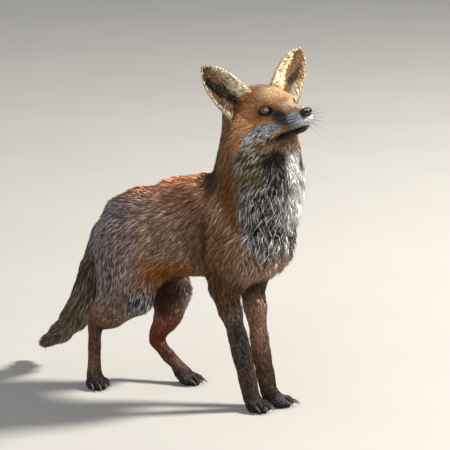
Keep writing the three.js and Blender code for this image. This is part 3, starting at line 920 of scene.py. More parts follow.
def skin_roots(skin, obj, rng, coat):
    """Where every lock of the coat grows from on the skin."""
    surface = surface_data(obj)
    points, corners = surface[:2]
    _, _, lengths, parts = skin.comb.over(points[corners].mean(1))
    places, outward, uvs, _ = scattered(surface, 1 / root_gap(lengths, parts, coat) ** 2, rng)
    sole = (outward[:, 2] < -0.75) & (places[:, 2] < 6 * MM)
    keep = ~bare(places) & ~sole
    places, outward, uvs = places[keep], outward[keep], uvs[keep]
    ways, depths, lengths, parts = skin.comb.over(places)
    lengths = lengths * coat.hair_length
    return Roots(places, outward, ways, lengths, depths, uvs, parts, rng.random(len(places)))


# Places where longer hair stands loose of the body: place, reach and how far it stands out.
LOOSE = {"far stifle": ((-34, 55, 180), 20, 10), "near stifle": ((-40, -62, 166), 18, 5)}


# The breast's shaggy hair: between which heights, from how far ahead, and how far it stands out.
BREAST = {"low": (190, 240), "high": (395, 425), "ahead": (150, 192), "stands": 7}
# Its longer locks, in metres, wave from side to side and are drawn together more.
BREAST.update({"waved lengths": (0.022, 0.034), "waves": 0.75, "turn": 2.3, "gathers": 0.5})
BREAST_PHASE = (140.0, 330.0, 260.0)  # how fast the waves change from lock to lock


def loose_hair(places):
    """The share of breast hair at each root, and how many metres its hair stands out of the coat."""
    body = (places - BODY_AT) / MM
    high = smooth_step(body[:, 2], *BREAST["low"]) * (1 - smooth_step(body[:, 2], *BREAST["high"]))
    breast = smooth_step(body[:, 0], *BREAST["ahead"]) * high
    stands = breast * BREAST["stands"]
    for place, reach, height in LOOSE.values():
        stands = stands + height * np.exp(-(((body - place) / reach) ** 2).sum(1))
    return breast, stands * MM


def strands(skin, roots, levels, rng, stray):
    """Points up each lock, from just under the skin to its tip, along the lie of the coat."""
    count = len(roots.places)
    long = roots.lengths * uneven("length", rng, count)
    breast, stands = loose_hair(roots.places)
    breast = breast * smooth_step(roots.lengths, *BREAST["waved lengths"])
    rise = roots.depths * uneven("rise", rng, count) + stands * uneven("standing", rng, count)
    long = long + stands * 1.3
    base = skin.form.sample(roots.places)
    way = unit(roots.ways + rng.normal(0, 1, (count, 3)) * stray[:, None])
    path = [roots.places - roots.normals * ROOT_SUNK["skin"]]
    p = roots.places.copy()
    wave = roots.places @ BREAST_PHASE
    for k in range(1, levels + 1):
        t = k / levels
        slope = skin.form.slope(p)
        steep = np.maximum(np.linalg.norm(slope, axis=1), 0.3)
        out = slope / steep[:, None]
        flat = unit(way - out * (way * out).sum(1)[:, None])
        sway = breast * BREAST["waves"] * np.sin(wave + BREAST["turn"] * k)
        flat = unit(flat + np.cross(out, flat) * sway[:, None])
        p = p + flat * (long / levels)[:, None] * 0.94
        height = base * (1 - t) + rise * (1 - (1 - t) ** 2)
        error = np.clip((height - skin.form.sample(p)) / steep, -0.5 * long, 0.5 * long)
        p = p + out * error[:, None]
        path.append(p)
    return np.stack(path, 1)


def gathered(path, groups, pull):
    """Draws each lock's tip towards the tip of the lock at the middle of its group."""
    lead = path[groups]
    t = np.linspace(0, 1, path.shape[1])[None, :, None]
    return path + (lead - path) * pull[:, None, None] * t**1.3


def leaders(places, gaps, rng):
    """For each root, the index of the root at the middle of its group."""
    size = GROUP_SIZE * gaps
    order = rng.permutation(len(places))
    cell = np.floor(places[order] / size[order][:, None] + 0.5).astype(int)
    x, y, z = (cell * CELL_PRIMES).T
    _, first = np.unique(x ^ y ^ z, return_index=True)
    chosen = order[first]
    tree = KDTree(len(chosen))
    for i, index in enumerate(chosen):
        tree.insert(places[index], i)
    tree.balance()
    return np.array([chosen[tree.find(p)[1]] for p in places])


def lock_arrays(roots, path, widths):
    """Points, faces and point values of closed three-sided locks along the paths, ridges outward."""
    count, levels = path.shape[:2]
    ahead = unit(np.diff(path, axis=1))
    ahead = np.concatenate((ahead[:, :1], (ahead[:, :-1] + ahead[:, 1:]) / 2), 1)
    out = roots.normals[:, None, :] - ahead * (roots.normals[:, None, :] * ahead).sum(2)[..., None]
    out = unit(out)
    side = np.cross(ahead, out)
    body = path[:, :-1]
    shape = np.array(LOCK_SHAPES[levels - 1])
    half = (widths[:, None] * shape[None])[..., None] / 2
    rings = np.stack((body - side * half, body + side * half, body + out * half * 0.9), 2)
    points = np.concatenate((rings.reshape(count, -1, 3), path[:, -1:]), 1)
    per = points.shape[1]
    quads = ring_faces(levels - 1, 3, ends=False)
    last = 3 * (levels - 2)
    tris = [(0, 2, 1)] + [(last + j, last + (j + 1) % 3, per - 1) for j in range(3)]
    each = np.array([v for face in quads + tris for v in face])
    loops = (np.arange(count)[:, None] * per + each[None]).ravel()
    sizes = np.tile([4] * len(quads) + [3] * len(tris), count)
    along = np.append(np.repeat(np.arange(levels - 1) / (levels - 1), 3), 1.0)
    spot = np.stack(((each % 3) / 3, along[each]), 1) * PATCH
    return {
        "points": points.reshape(-1, 3),
        "loops": loops,
        "sizes": sizes,
        "along": np.tile(along, count),
        "hair": np.repeat(roots.chance, per),
        "root": np.repeat(roots.places, per, 0),
        "part": np.repeat(roots.parts, per, 0),
        "uv": np.repeat(roots.uvs, len(each), 0) + np.tile(spot, (count, 1)),
    }


def mesh_of_locks(name, groups):
    """One mesh from the arrays of several kinds of lock."""
    shift = np.cumsum([0] + [len(g["points"]) for g in groups[:-1]])
    all_of = {key: np.concatenate([g[key] for g in groups]) for key in groups[0]}
    loops = np.concatenate([g["loops"] + n for g, n in zip(groups, shift)])
    sizes = all_of["sizes"]
    mesh = bpy.data.meshes.new(name)
    mesh.vertices.add(len(all_of["points"]))
    mesh.vertices.foreach_set("co", all_of["points"].astype(np.float32).ravel())
    mesh.loops.add(len(loops))
    mesh.loops.foreach_set("vertex_index", loops.astype(np.int32))
    mesh.polygons.add(len(sizes))
    mesh.polygons.foreach_set("loop_start", np.concatenate(([0], np.cumsum(sizes)[:-1])).astype(np.int32))
    mesh.update(calc_edges=True)
    mesh.shade_smooth()
    obj = linked(name, mesh)
    for label in ("along", "hair", "root"):
        store(obj, label, all_of[label])
    mesh.uv_layers.new(name="OFBake").uv.foreach_set("vector", all_of["uv"].astype(np.float32).ravel())
    return obj, all_of["part"]


EAR_HAIR_FROM = (-0.06, -0.21)  # how low hair grows inside an ear and behind it, up its leaf


def ear_ways(leaf, s):
    """How the hair lies on an ear, in the ear's own frame, with its length and how far it lifts."""
    up, inward, face = leaf.T
    across = -s * inward
    edge = smooth_step(np.abs(inward), 0.55, 0.9)
    rim = smooth_step(np.abs(inward), 0.86, 1.0)
    base = 1 - smooth_step(up, 0.05, 0.4)
    inner_way = np.stack((0.12 + 0.25 * edge, -across * (0.35 + 0.75 * edge), 0.7 + 0.3 * base), 1)
    outer_way = np.stack((-0.05 + 0 * up, across * 0.15, 1 + 0 * up), 1)
    inner = face > 0.5
    way = np.where(inner[:, None], inner_way, outer_way)
    fringe = edge * np.where(inward > 0, 1.0, 0.2) * (1 - 0.6 * rim)
    inner_long = 6.5 + 9 * fringe * (1 - 0.6 * up) + 8 * base
    outer_long = (5.2 - 1.6 * up) * (1 - 0.5 * edge) + 7 * (1 - smooth_step(up, -0.15, 0.2))
    long = np.where(inner, inner_long, outer_long) * (1 - 0.6 * smooth_step(up, 0.7, 1.0)) * (1 - 0.35 * rim)
    lift = np.where(inner, 1.3 + 2.8 * fringe + 2.6 * base, 1.2 - 0.8 * edge) * (1 - 0.7 * rim)
    return unit(way), long * MM, lift * MM


def build_ear_coat(side, shell, rng, coat):
    """Short hair on the back of an ear, and pale hair from its edges across the cup."""
    turn, _ = ear_axes(side)
    whole = HEAD_TURN @ turn
    leaf = read_all(shell.data.attributes["leaf"].data, "vector")
    surface = surface_data(shell)
    places, outward, uvs, spot = scattered(surface, 1 / coat.ear_spacing**2, rng, leaf)
    keep = spot[:, 0] > np.where(spot[:, 2] > 0.5, *EAR_HAIR_FROM)
    places, outward, spot, uvs = places[keep], outward[keep], spot[keep], uvs[keep]
    way, long, lift = ear_ways(spot, SIDES[side])
    count = len(places)
    way = unit(way @ whole.T + rng.normal(0, 0.12, way.shape))
    long = long * uneven("ear length", rng, count)
    lift = lift * uneven("ear rise", rng, count)
    flat = unit(way - outward * np.minimum((way * outward).sum(1), 0)[:, None] * 0.9)
    path = [places - outward * ROOT_SUNK["ear"]]
    for t in (0.5, 1.0):
        rise = lift * (1 - (1 - t) ** 2)
        path.append(places + flat * (long * t)[:, None] + outward * rise[:, None])
    path = np.stack(path, 1)
    roots = Roots(places, outward, flat, long, lift, uvs, spot, rng.random(count))
    gaps = np.full(count, coat.ear_spacing)
    path = gathered(path, leaders(places, gaps, rng), uneven("ear gathering", rng, count))
    obj, leaf = mesh_of_locks(f"coat_ear_{side}", [lock_arrays(roots, path, gaps * 0.8 * coat.lock_width)])
    store(obj, "leaf", leaf)
    return obj


# Whiskers of the lip stand in columns and rows: the first one's place ahead and up, and the steps
# to the next column and row. Those of the brow and the chin stand in a short row: the first one's
# place, the step to the next, its way, its length and how much longer the next one is.
WHISKERS = {"rows": 5, "columns": 5, "steps": 14, "sides": 6, "over skin": 0.3}
WHISKER_DROOP = (-0.012, 0.0, -0.010)
LIP_WHISKERS = ((61, -16), (-6.2, 0.8), (-1.2, -3.6))
BROW_WHISKERS = ((4, 30, 15), (-5, 0, 1), (-0.3, 0.9, 0.7), 24, 4)
CHIN_WHISKERS = ((56, 16, -47), (-7, 0, -1), (0.1, 0.6, -0.8), 16, 3)


def whisker_starts(sizes, rng):
    """Where each whisker grows from on the head, its way, its length and its side."""
    starts = []
    short, long = sizes.whisker_shortest / MM, sizes.whisker_longest / MM
    for s in SIDES.values():
        for row in range(WHISKERS["rows"]):
            for column in range(WHISKERS["columns"]):
                x, z = (f + c * column + r * row for f, c, r in zip(*LIP_WHISKERS))
                grown = short + (long - short) * (column + 1) / WHISKERS["columns"]
                way = (0.35 - 0.22 * column, s * 1.0, 0.18 - 0.17 * row)
                starts.append(((x, s * 30, z), way, grown * uneven("whisker", rng), s))
        for first, step, way, length, growth in (BROW_WHISKERS, CHIN_WHISKERS):
            for k in range(3):
                place = (np.array(first) + np.array(step) * k) * (1, s, 1)
                starts.append((place, np.array(way) * (1, s, 1), length + growth * k, s))
    return starts


def whisker_lines(skin, sizes, rng):
    """The middle line of every whisker, as a mesh of edges with how far along each point is."""
    points, edges, taper = [], [], []
    steps = WHISKERS["steps"]
    for place, way, long, s in whisker_starts(sizes, rng):
        start = np.array(place, float)
        inward = np.array((0.0, -s, 0.0)) if abs(start[2]) < 40 else np.array((0.0, 0.0, 1.0))
        for _ in range(60):
            if skin.form.sample(on_head(start)[None])[0] < WHISKERS["over skin"] * MM:
                break
            start = start + inward * 0.6
        heading = unit(np.array(way) + rng.normal(0, 0.06, 3))
        droop = np.array(WHISKER_DROOP) * long / 40
        for i in range(steps + 1):
            if i:
                edges.append((len(points) - 1, len(points)))
            points.append(start)
            taper.append(i / steps)
            heading = unit(heading + droop)
            start = start + heading * long / steps
    obj = new_object("whiskers", on_head(np.array(points)).tolist(), [], edges)
    store(obj, "taper", taper)
    return obj


def whisker_tree():
    """Geometry Nodes that draw a tapering hair along each line of edges."""
    inputs = {"Lines": "Geometry", "Thickness": 0.0005, "Sides": 6, "Finish": "Material"}
    outputs = {"Whiskers": "Geometry"}
    tree, n, given = new_tree("Whiskers along lines", "GeometryNodeTree", inputs, outputs)
    line = n.fed("GeometryNodeMeshToCurve", {"Mesh": given["Lines"]}).outputs[0]
    taper = n.fed("GeometryNodeInputNamedAttribute", {"Name": "taper"}, data_type="FLOAT").outputs[0]
    left = n.math("POWER", n.math("SUBTRACT", 1.03, taper), 0.8)
    ring = n.fed("GeometryNodeCurvePrimitiveCircle", {"Resolution": given["Sides"], "Radius": 1.0})
    shape = {
        "Curve": line,
        "Profile Curve": ring.outputs[0],
        "Scale": n.product(given["Thickness"], 0.5, left),
        "Fill Caps": True,
    }
    hair = n.fed("GeometryNodeCurveToMesh", shape).outputs[0]
    real = n.fed("GeometryNodeRealizeInstances", {"Geometry": hair}).outputs[0]
    dressed = n.fed("GeometryNodeSetMaterial", {"Geometry": real, "Material": given["Finish"]})
    n.fed("NodeGroupOutput", {"Whiskers": dressed.outputs[0]})
    return tree


def build_whiskers(skin, sizes, rng, look):
    """Rows of long stiff whiskers beside the muzzle, with a few over the eyes and on the chin."""
    obj = whisker_lines(skin, sizes, rng)
    tree = whisker_tree()
    grown = obj.modifiers.new("Whiskers", "NODES")
    grown.node_group = tree
    values = {"Thickness": sizes.whisker_thickness, "Sides": WHISKERS["sides"], "Finish": look}
    for item in tree.interface.items_tree:
        if item.in_out == "INPUT" and item.name in values:
            grown[item.identifier] = values[item.name]
    ready = obj.evaluated_get(bpy.context.evaluated_depsgraph_get())
    mesh = bpy.data.meshes.new_from_object(ready)
    obj.modifiers.clear()
    obj.data = mesh
    turn_out(mesh)
    return obj


def piece_names(parts, places):
    """The piece of the coat that each root belongs to, from its part of the body and its place there."""
    names = np.array(["coat_" + p for p in parts], dtype=object)
    face = from_head(places)[:, 0]
    body = (places - BODY_AT) / MM
    head = parts == "head"
    names[head & (face > -8)] = "coat_face"
    trunk = parts == "trunk"
    names[trunk & (body[:, 0] >= 40)] = "coat_shoulder"
    names[trunk & (body[:, 0] < 40)] = "coat_flank"
    names[trunk] += np.where(body[trunk, 1] < 0, "_right", "_left")
    return names


def by_length(millimetres, start, slope, most):
    return np.clip(start + slope * millimetres, 0, most)


def build_coat(skin, skin_object, rng, coat):
    """The coat's locks, in pieces: face, head, neck, shoulders, flanks, legs and tail."""
    every = skin_roots(skin, skin_object, rng, coat)
    names = piece_names(every.parts, every.places)
    made = []
    for name in sorted(set(names)):
        some = every.kept(names == name)
        groups = []
        for levels, low, high in LOCK_LEVELS:
            mask = (some.lengths >= low * MM) & (some.lengths < high * MM)
            if not mask.any():
                continue
            roots = some.kept(mask)
            length = roots.lengths / MM
            gaps = root_gap(roots.lengths, roots.parts, coat)
            path = strands(skin, roots, levels, rng, by_length(length, *STRAY))
            curls = 1 + BREAST["gathers"] * loose_hair(roots.places)[0]
            pull = by_length(length, *GATHER) * curls * uneven("gathering", rng, len(length))
            path = gathered(path, leaders(roots.places, gaps, rng), pull)
            groups.append(lock_arrays(roots, path, gaps * LOCK_WIDTHS[levels] * coat.lock_width))
        made.append(mesh_of_locks(name, groups)[0])
    return made


# ------------------------------------------------------------------ markings and materials


def linear(level):
    """The light of one colour channel, from its display value out of 255."""
    share = level / 255
    return share / 12.92 if share < 0.0405 else ((share + 0.055) / 1.055) ** 2.4


def paint(red, green, blue):
    """A colour for a shader, from its display values out of 255."""
    return linear(red), linear(green), linear(blue), 1.0


class Nodes:
    """Adds and joins the nodes of one tree."""

    def __init__(self, tree):
        self.tree = tree

    def add(self, kind, **settings):
        node = self.tree.nodes.new(kind)
        for name, value in settings.items():
            setattr(node, name, value)
        return node

    def join(self, source, target):
        self.tree.links.new(source, target)

    def feed(self, target, value):
        if isinstance(value, bpy.types.NodeSocket):
            self.join(value, target)
        else:
            target.default_value = value

    def fed(self, kind, values, **settings):
        """A new node with its inputs given in order, or by their names or numbers."""
        node = self.add(kind, **settings)
        for key, value in values.items() if isinstance(values, dict) else enumerate(values):
            self.feed(node.inputs[key], value)
        return node

    def math(self, operation, *values):
        return self.fed("ShaderNodeMath", values, operation=operation).outputs[0]

    def vector(self, operation, *values, output=0):
        return self.fed("ShaderNodeVectorMath", values, operation=operation).outputs[output]

    def span(self, value, low, high, start=0.0, end=1.0):
        values = (value, low, high, start, end)
        return self.fed("ShaderNodeMapRange", values, interpolation_type="SMOOTHSTEP").outputs[0]

    def scale(self, value, factor):
        values = {0: value, "Scale": factor}
        return self.fed("ShaderNodeVectorMath", values, operation="SCALE").outputs[0]

    def parts(self, value):
        return self.fed("ShaderNodeSeparateXYZ", (value,)).outputs

    def whole(self, *values):
        return self.fed("ShaderNodeCombineXYZ", values).outputs[0]

    def line(self, value, slope, start):
        return self.math("ADD", self.math("MULTIPLY", value, slope), start)

    def product(self, first, *others):
        for other in others:
            first = self.math("MULTIPLY", first, other)
        return first

    def blend(self, factor, first, second):
        return self.fed("ShaderNodeMix", {0: factor, 6: first, 7: second}, data_type="RGBA").outputs[2]

    def mix(self, factor, first, second):
        return self.fed("ShaderNodeMix", {0: factor, 2: first, 3: second}, data_type="FLOAT").outputs[0]

    def place(self):
        return self.add("ShaderNodeTexCoord").outputs["Object"]

    def read(self, label, kind="Vector"):
        return self.add("ShaderNodeAttribute", attribute_name=label).outputs[kind]

    def noise(self, place, scale, detail=2.0, output=0):
        values = {"Vector": place, "Scale": scale, "Detail": detail}
        return self.fed("ShaderNodeTexNoise", values).outputs[output]

    def within(self, place, middle_at, turn, size, label=""):
        """The place as a frame with this middle, turn and size has it."""
        values = (place, middle_at, turn, size)
        return self.fed("ShaderNodeMapping", values, vector_type="TEXTURE", label=label).outputs[0]


def new_tree(name, kind, inputs, outputs):
    """A tree with named inputs and outputs, its nodes, and what its inputs give.

    A number as an input is its default. Every other socket is given by its kind."""
    tree = bpy.data.node_groups.new(name, kind)
    for direction, sockets in (("INPUT", inputs), ("OUTPUT", outputs)):
        for label, given in sockets.items():
            of_kind = given if isinstance(given, str) else {int: "Int", float: "Float"}[type(given)]
            of_type = f"NodeSocket{of_kind}"
            item = tree.interface.new_socket(name=label, in_out=direction, socket_type=of_type)
            if of_kind != given:
                item.default_value = given
    n = Nodes(tree)
    return tree, n, n.add("NodeGroupInput").outputs


# Patches of the coat, later ones over earlier ones: the frame each is in, its middle, its half
# sizes, how far it is pitched (or rolled, pitched and turned), how soft its edge is, its colour (or
# the name of its colour in the settings), the colour of its flecks, and the share of hairs flecked.
PATCHES = (
    ("body", "flank", (0, 0, 250), (900, 400, 500), 0, 0.1, "flank", (226, 196, 170), 0.4),
    ("body", "rear", (-150, 0, 250), (105, 110, 120), 0, 0.35, "rear", (204, 192, 196), 0.42),
    ("body", "ribs low", (25, 0, 222), (75, 110, 26), 0, 0.5, (140, 84, 36), (200, 138, 68), 0.4),
    ("body", "belly", (-5, 0, 200), (100, 60, 28), 0, 0.4, "belly", (174, 106, 32), 0.4),
    # Partly painted light: the back's own rufous is brightened as painted sunlight on the top of the body.
    ("body", "back", (0, 0, 378), (150, 66, 42), -8, 0.35, "back", (255, 200, 156), 0.5),
    ("body", "hump side", (52, 46, 342), (56, 30, 24), -10, 0.5, (98, 68, 56), (212, 146, 112), 0.42),
    ("body", "rump top", (-95, 0, 340), (80, 42, 24), 0, 0.4, (170, 92, 54), (230, 162, 118), 0.45),
    ("body", "shoulder", (112, 60, 270), (56, 60, 70), 0, 0.4, (104, 71, 45), (178, 138, 96), 0.38),
    # Painted shade: a dark patch behind each elbow, where shade falls under the shoulder.
    ("body", "painted shade behind the elbow", (107, 66, 284), (7, 24, 56), -6, 0.6, (48, 30, 20), (92, 60, 38), 0.3),
    ("body", "nape", (104, 0, 424), (42, 66, 84), 24, 0.3, "nape", (90, 58, 42), 0.35),
    ("body", "neck side", (160, 64, 384), (27, 46, 72), 16, 0.35, "neck", (84, 50, 22), 0.4),
    ("body", "breast", (222, 30, 330), (53, 44, 114), 8, 0.22, "breast", (228, 226, 225), 0.38),
    ("body", "throat grey", (222, 26, 428), (29, 29, 31), 0, 0.4, (30, 26, 24), (112, 102, 94), 0.35),
    ("limb", "bib", (248, 24, 342), (46, 40, 134), 8, 0.3, "bib", (255, 255, 254), 0.65),
    ("limb", "upper foreleg", (120, 0, 200), (60, 90, 60), 0, 0.4, (70, 45, 27), (124, 88, 56), 0.35),
    ("limb", "foreleg", (140, 0, 90), (50, 70, 105), 0, 0.3, "foreleg", (164, 132, 108), 0.35),
    ("limb", "far foreleg", (136, 33, 106), (44, 17, 76), 8, 0.4, (166, 122, 98), (222, 186, 160), 0.35),
    ("limb", "shin right", (160, -38, 95), (22, 16, 90), 12, 0.5, (54, 44, 42), (136, 122, 116), 0.35),
    ("limb", "shin left", (166, 26, 66), (16, 18, 60), 12, 0.5, (74, 54, 48), (142, 112, 96), 0.35),
    ("limb", "thigh", (-85, 0, 180), (60, 90, 50), 0, 0.4, (102, 82, 76), (194, 176, 168), 0.4),
    ("limb", "inner thighs", (-72, 0, 165), (60, 46, 62), 0, 0.3, "inner_thigh", (92, 50, 24), 0.3),
    ("limb", "stifle", (-42, -62, 164), (15, 22, 22), 0, 0.5, (54, 50, 52), (212, 208, 206), 0.36),
    ("limb", "far thigh", (-33, 58, 176), (12, 22, 34), 0, 0.5, (226, 220, 212), (252, 250, 246), 0.5),
    ("limb", "hind shank", (-125, -58, 100), (60, 24, 62), 0, 0.35, (126, 84, 64), (184, 138, 114), 0.3),
    ("limb", "far shank", (-90, 54, 90), (60, 24, 62), 0, 0.35, (118, 58, 28), (176, 102, 60), 0.3),
    ("limb", "hock front", (-126, -57, 70), (16, 12, 60), 0, 0.5, (62, 48, 46), (124, 104, 98), 0.3),
    ("limb", "far hock front", (-78, 56, 62), (18, 12, 50), -40, 0.5, (84, 60, 52), (150, 120, 108), 0.3),
    ("limb", "feet", (0, 0, 8), (400, 200, 26), 0, 0.5, "feet", (112, 98, 102), 0.3),
    ("limb", "tail", (-265, 15, 165), (105, 60, 150), 0, 0.2, "tail", (146, 124, 104), 0.4),
    ("limb", "tail below", (-230, 8, 120), (40, 60, 50), 0, 0.5, (86, 69, 55), (158, 138, 114), 0.4),
    ("limb", "tail tip", (-350, 30, 38), (52, 50, 40), 0, 0.4, (84, 66, 56), (146, 124, 106), 0.35),
    ("head", "head", (10, 0, -8), (92, 84, 62), 0, 0.16, "head", (240, 194, 142), 0.4),
    ("head", "nape of head", (-70, 0, 10), (34, 60, 44), 0, 0.5, (112, 74, 46), (170, 122, 80), 0.35),
    ("head", "behind cheek", (-62, 62, -22), (20, 26, 40), 0, 0.5, (116, 80, 48), (174, 128, 82), 0.35),
    ("head", "crown", (-40, 0, 38), (34, 40, 18), 0, 0.5, (214, 140, 84), (255, 212, 160), 0.42),
    # Partly painted light: the forehead's own rust is brightened towards cream as painted sunlight.
    ("head", "forehead", (-4, 0, 22), (30, 24, 18), 30, 0.5, "forehead", (255, 228, 188), 0.36),
    # Painted highlight: the near-white top of the muzzle stands for sunlight on the nose bridge.
    ("head", "nose bridge", (36, 0, -2), (36, 12, 10), 12, 0.5, (255, 224, 188), (255, 244, 226), 0.45),
    ("head", "cheek", (-16, 40, -6), (26, 26, 16), 0, 0.5, "cheek", (236, 184, 134), 0.4),
    # Painted shade: the rust round the eye is darkened for the shade of the socket under the brow.
    ("head", "painted shade of the eye socket", (4, 30, -2), (19, 12, 13), (0, 0, -36), 0.5, (150, 88, 52), (190, 128, 86), 0.3),
    ("head", "ruff", (-8, 55, -58), (34, 36, 17), 12, 0.4, (66, 58, 50), (204, 196, 178), 0.4),
    ("head", "ruff low", (-19, 48, -82), (17, 18, 16), 0, 0.5, (84, 66, 48), (186, 166, 136), 0.36),
    ("head", "throat", (8, 0, -76), (50, 34, 23), 0, 0.35, "throat", (96, 82, 68), 0.3),
    ("head", "throat strip", (18, 4, -84), (26, 15, 26), 0, 0.35, (232, 228, 222), (252, 251, 249), 0.6),
    ("head", "white cheek", (4, 38, -30), (32, 34, 11), 17, 0.28, (88, 90, 94), (246, 250, 252), 0.52),
    ("head", "jaw side", (14, 24, -52), (26, 22, 8), 9, 0.4, (150, 114, 82), (196, 160, 124), 0.35),
    # Painted shade: a near-black patch under the jaw, on the right side only, for the shade the jaw casts on
    # the throat.
    ("face", "painted shade under the jaw", (14, -26, -67), (26, 18, 9.5), 4, 0.4, (26, 21, 19), (72, 60, 48), 0.3),
    # Partly painted light: the muzzle's white sides are tinted blue, painting the sky's light in their
    # shade.
    ("head", "muzzle side", (54, 13, -23), (20, 14, 11.5), 6, 0.28, "muzzle", (242, 247, 255), 0.5),
    ("head", "tear mark", (25, 18, -15), (12, 12, 17), 30, 0.4, "tear_mark", (100, 88, 96), 0.3),
    ("head", "lip side", (26, 22, -31), (17, 12, 6), 8, 0.5, (134, 138, 144), (226, 232, 236), 0.45),
    ("head", "upper lip", (69, 0, -27), (11, 15, 8), 0, 0.4, (232, 230, 234), (252, 252, 252), 0.5),
    ("head", "lower jaw", (34, 0, -46), (46, 26, 9), 9, 0.3, (104, 77, 60), (150, 118, 92), 0.3),
    ("head", "lips", (37, 16, -38.8), (39, 24, 3.6), 9, 0.45, (18, 15, 16), (32, 27, 27), 0.2),
    ("head", "mouth corner", (13, 28, -42.0), (9, 7, 4.2), -2, 0.5, (24, 20, 20), (54, 46, 42), 0.25),
    ("head", "eye rim", (6, 28.5, 0), (11.5, 8.4, 7.6), (0, 0, -36), 0.14, (20, 15, 16), (38, 29, 29), 0.15),
)


def frames_of(n, place):
    """The place in millimetres in each frame of the patches. Head and body are the same both sides."""
    frames = {}
    for name, at, turn in (("head", HEAD_AT, HEAD_TURN), ("body", BODY_AT, np.eye(3))):
        own = n.within(place, Vector(at), Matrix(turn.tolist()).to_euler(), (MM, MM, MM))
        x, y, z = n.parts(own)
        frames[name] = n.whole(x, n.math("ABSOLUTE", y), z)
        frames[{"head": "face", "body": "limb"}[name]] = own
    return frames


def patch_share(n, place, label, middle_at, radii, pitch, soft):
    """1 inside a patch, falling to 0 across its soft edge."""
    roll, pitch, yaw = pitch if isinstance(pitch, tuple) else (0, pitch, 0)
    turn = (math.radians(roll), -math.radians(pitch), math.radians(yaw))
    away = n.vector("LENGTH", n.within(place, middle_at, turn, radii, label), output=1)
    return n.span(away, 1 - soft, 1 + soft, 1.0, 0.0)


def whisker_rows(n, place):
    """The dark rows that the whiskers of the lip grow from, by the place on the head."""
    pad = patch_share(n, place, "whisker pad", (46, 15, -23), (22, 14, 9), 6, 0.3)
    ahead, _, up = n.parts(place)
    row = n.math("SINE", n.product(n.line(ahead, -0.22, up), 1.75))
    return n.product(n.span(row, 0.2, 0.8), pad, 0.9)


RAGGED = 0.014  # how far the edges of the markings wander, in metres


def markings(colors):
    """The fox's markings, shared by the skin and the coat: a colour for a place, a hair and a height, the
    height darkening the roots and skin as painted shade.
    """
    inputs = {"Place": "Vector", "Fleck": 0.0, "Along": 0.0}
    tree, n, given = new_tree("Fox markings", "ShaderNodeTree", inputs, {"Color": "Color"})
    large = n.vector("SUBTRACT", n.noise(given["Place"], 45.0, 3.0, output=1), (0.5, 0.5, 0.5))
    frames = frames_of(n, n.vector("ADD", given["Place"], n.scale(large, RAGGED)))
    color, fleck, share = (0.2, 0.2, 0.2, 1), (0.2, 0.2, 0.2, 1), 0.3
    for kind, label, middle_at, radii, pitch, soft, main, other, flecked in PATCHES:
        inside = patch_share(n, frames[kind], label, middle_at, radii, pitch, soft)
        own = (*getattr(colors, main), 1.0) if isinstance(main, str) else paint(*main)
        color = n.blend(inside, color, own)
        fleck = n.blend(inside, fleck, paint(*other))
        share = n.mix(inside, share, flecked)
    row = whisker_rows(n, frames["head"])
    color = n.blend(row, color, paint(66, 58, 66))
    fleck = n.blend(row, fleck, paint(80, 72, 78))
    on_face = patch_share(n, frames["head"], "finer mottle", (6, 0, -12), (90, 84, 58), 0, 0.3)
    mottle = n.mix(on_face, n.noise(given["Place"], 120.0, 2.0), n.noise(given["Place"], 300.0, 1.0))
    mottle = n.math("SUBTRACT", mottle, 0.5)
    cut = n.math("ADD", n.math("SUBTRACT", 1.0, share), n.product(mottle, 1.4))
    ticked = n.span(given["Fleck"], n.math("SUBTRACT", cut, 0.12), n.math("ADD", cut, 0.12))
    tip = n.span(given["Along"], 0.15, 0.7)
    color = n.blend(n.product(ticked, tip), color, fleck)
    tone = n.line(n.math("FRACT", n.product(given["Fleck"], 17.3)), 1.1, 0.42)
    patchy = n.line(mottle, 1.6, 1.0)
    # Painted shade: each hair is darker towards its root, and the bare skin, with no Along, is as dark as
    # the roots, for the shade deep in the coat.
    depth = n.line(given["Along"], 0.7, 0.5)
    n.fed("NodeGroupOutput", {"Color": n.scale(color, n.product(tone, patchy, depth))})
    return tree


def fine_grain():
    """Fine grain for any finish: a height for its bump, and a roughness between two limits."""
    inputs = {"Place": "Vector", "Scale": 900.0, "Smoothest": 0.4, "Roughest": 0.7}
    outputs = {"Height": "Float", "Roughness": "Float"}
    tree, n, given = new_tree("Fine grain", "ShaderNodeTree", inputs, outputs)
    height = n.noise(given["Place"], given["Scale"])
    rough = n.span(height, 0.3, 0.7, given["Smoothest"], given["Roughest"])
    n.fed("NodeGroupOutput", {"Height": height, "Roughness": rough})
    return tree


def shared(name, build, *given):
    """A node group by its name, built the first time it is asked for."""
    return bpy.data.node_groups.get(name) or build(*given)


def material(name, roughness=0.5, **settings):
    """A material with one plain shader, its constants set on the shader's own sockets."""
    made = bpy.data.materials.new(name)
    made.use_nodes = True
    shader = made.node_tree.nodes["Principled BSDF"]
    shader.inputs["Roughness"].default_value = roughness
    for socket_name, value in settings.items():
        shader.inputs[socket_name.replace("_", " ")].default_value = value
    return made, Nodes(made.node_tree), shader


def finish(n, shader, color, scale, limits, strength, distance, also=None):
    """Gives a shader its colour, and its roughness and bump from the shared fine grain and `also`."""
    n.join(color, shader.inputs["Base Color"])
    values = {"Place": n.place(), "Scale": scale, "Smoothest": limits[0], "Roughest": limits[1]}
    fine = n.fed("ShaderNodeGroup", values, node_tree=shared("Fine grain", fine_grain))
    n.join(fine.outputs["Roughness"], shader.inputs["Roughness"])
    height = fine.outputs["Height"]
    if also is not None:
        height = n.line(height, 0.3, also)
    bump = n.fed("ShaderNodeBump", {"Strength": strength, "Distance": distance * MM, "Height": height})
    n.join(bump.outputs["Normal"], shader.inputs["Normal"])


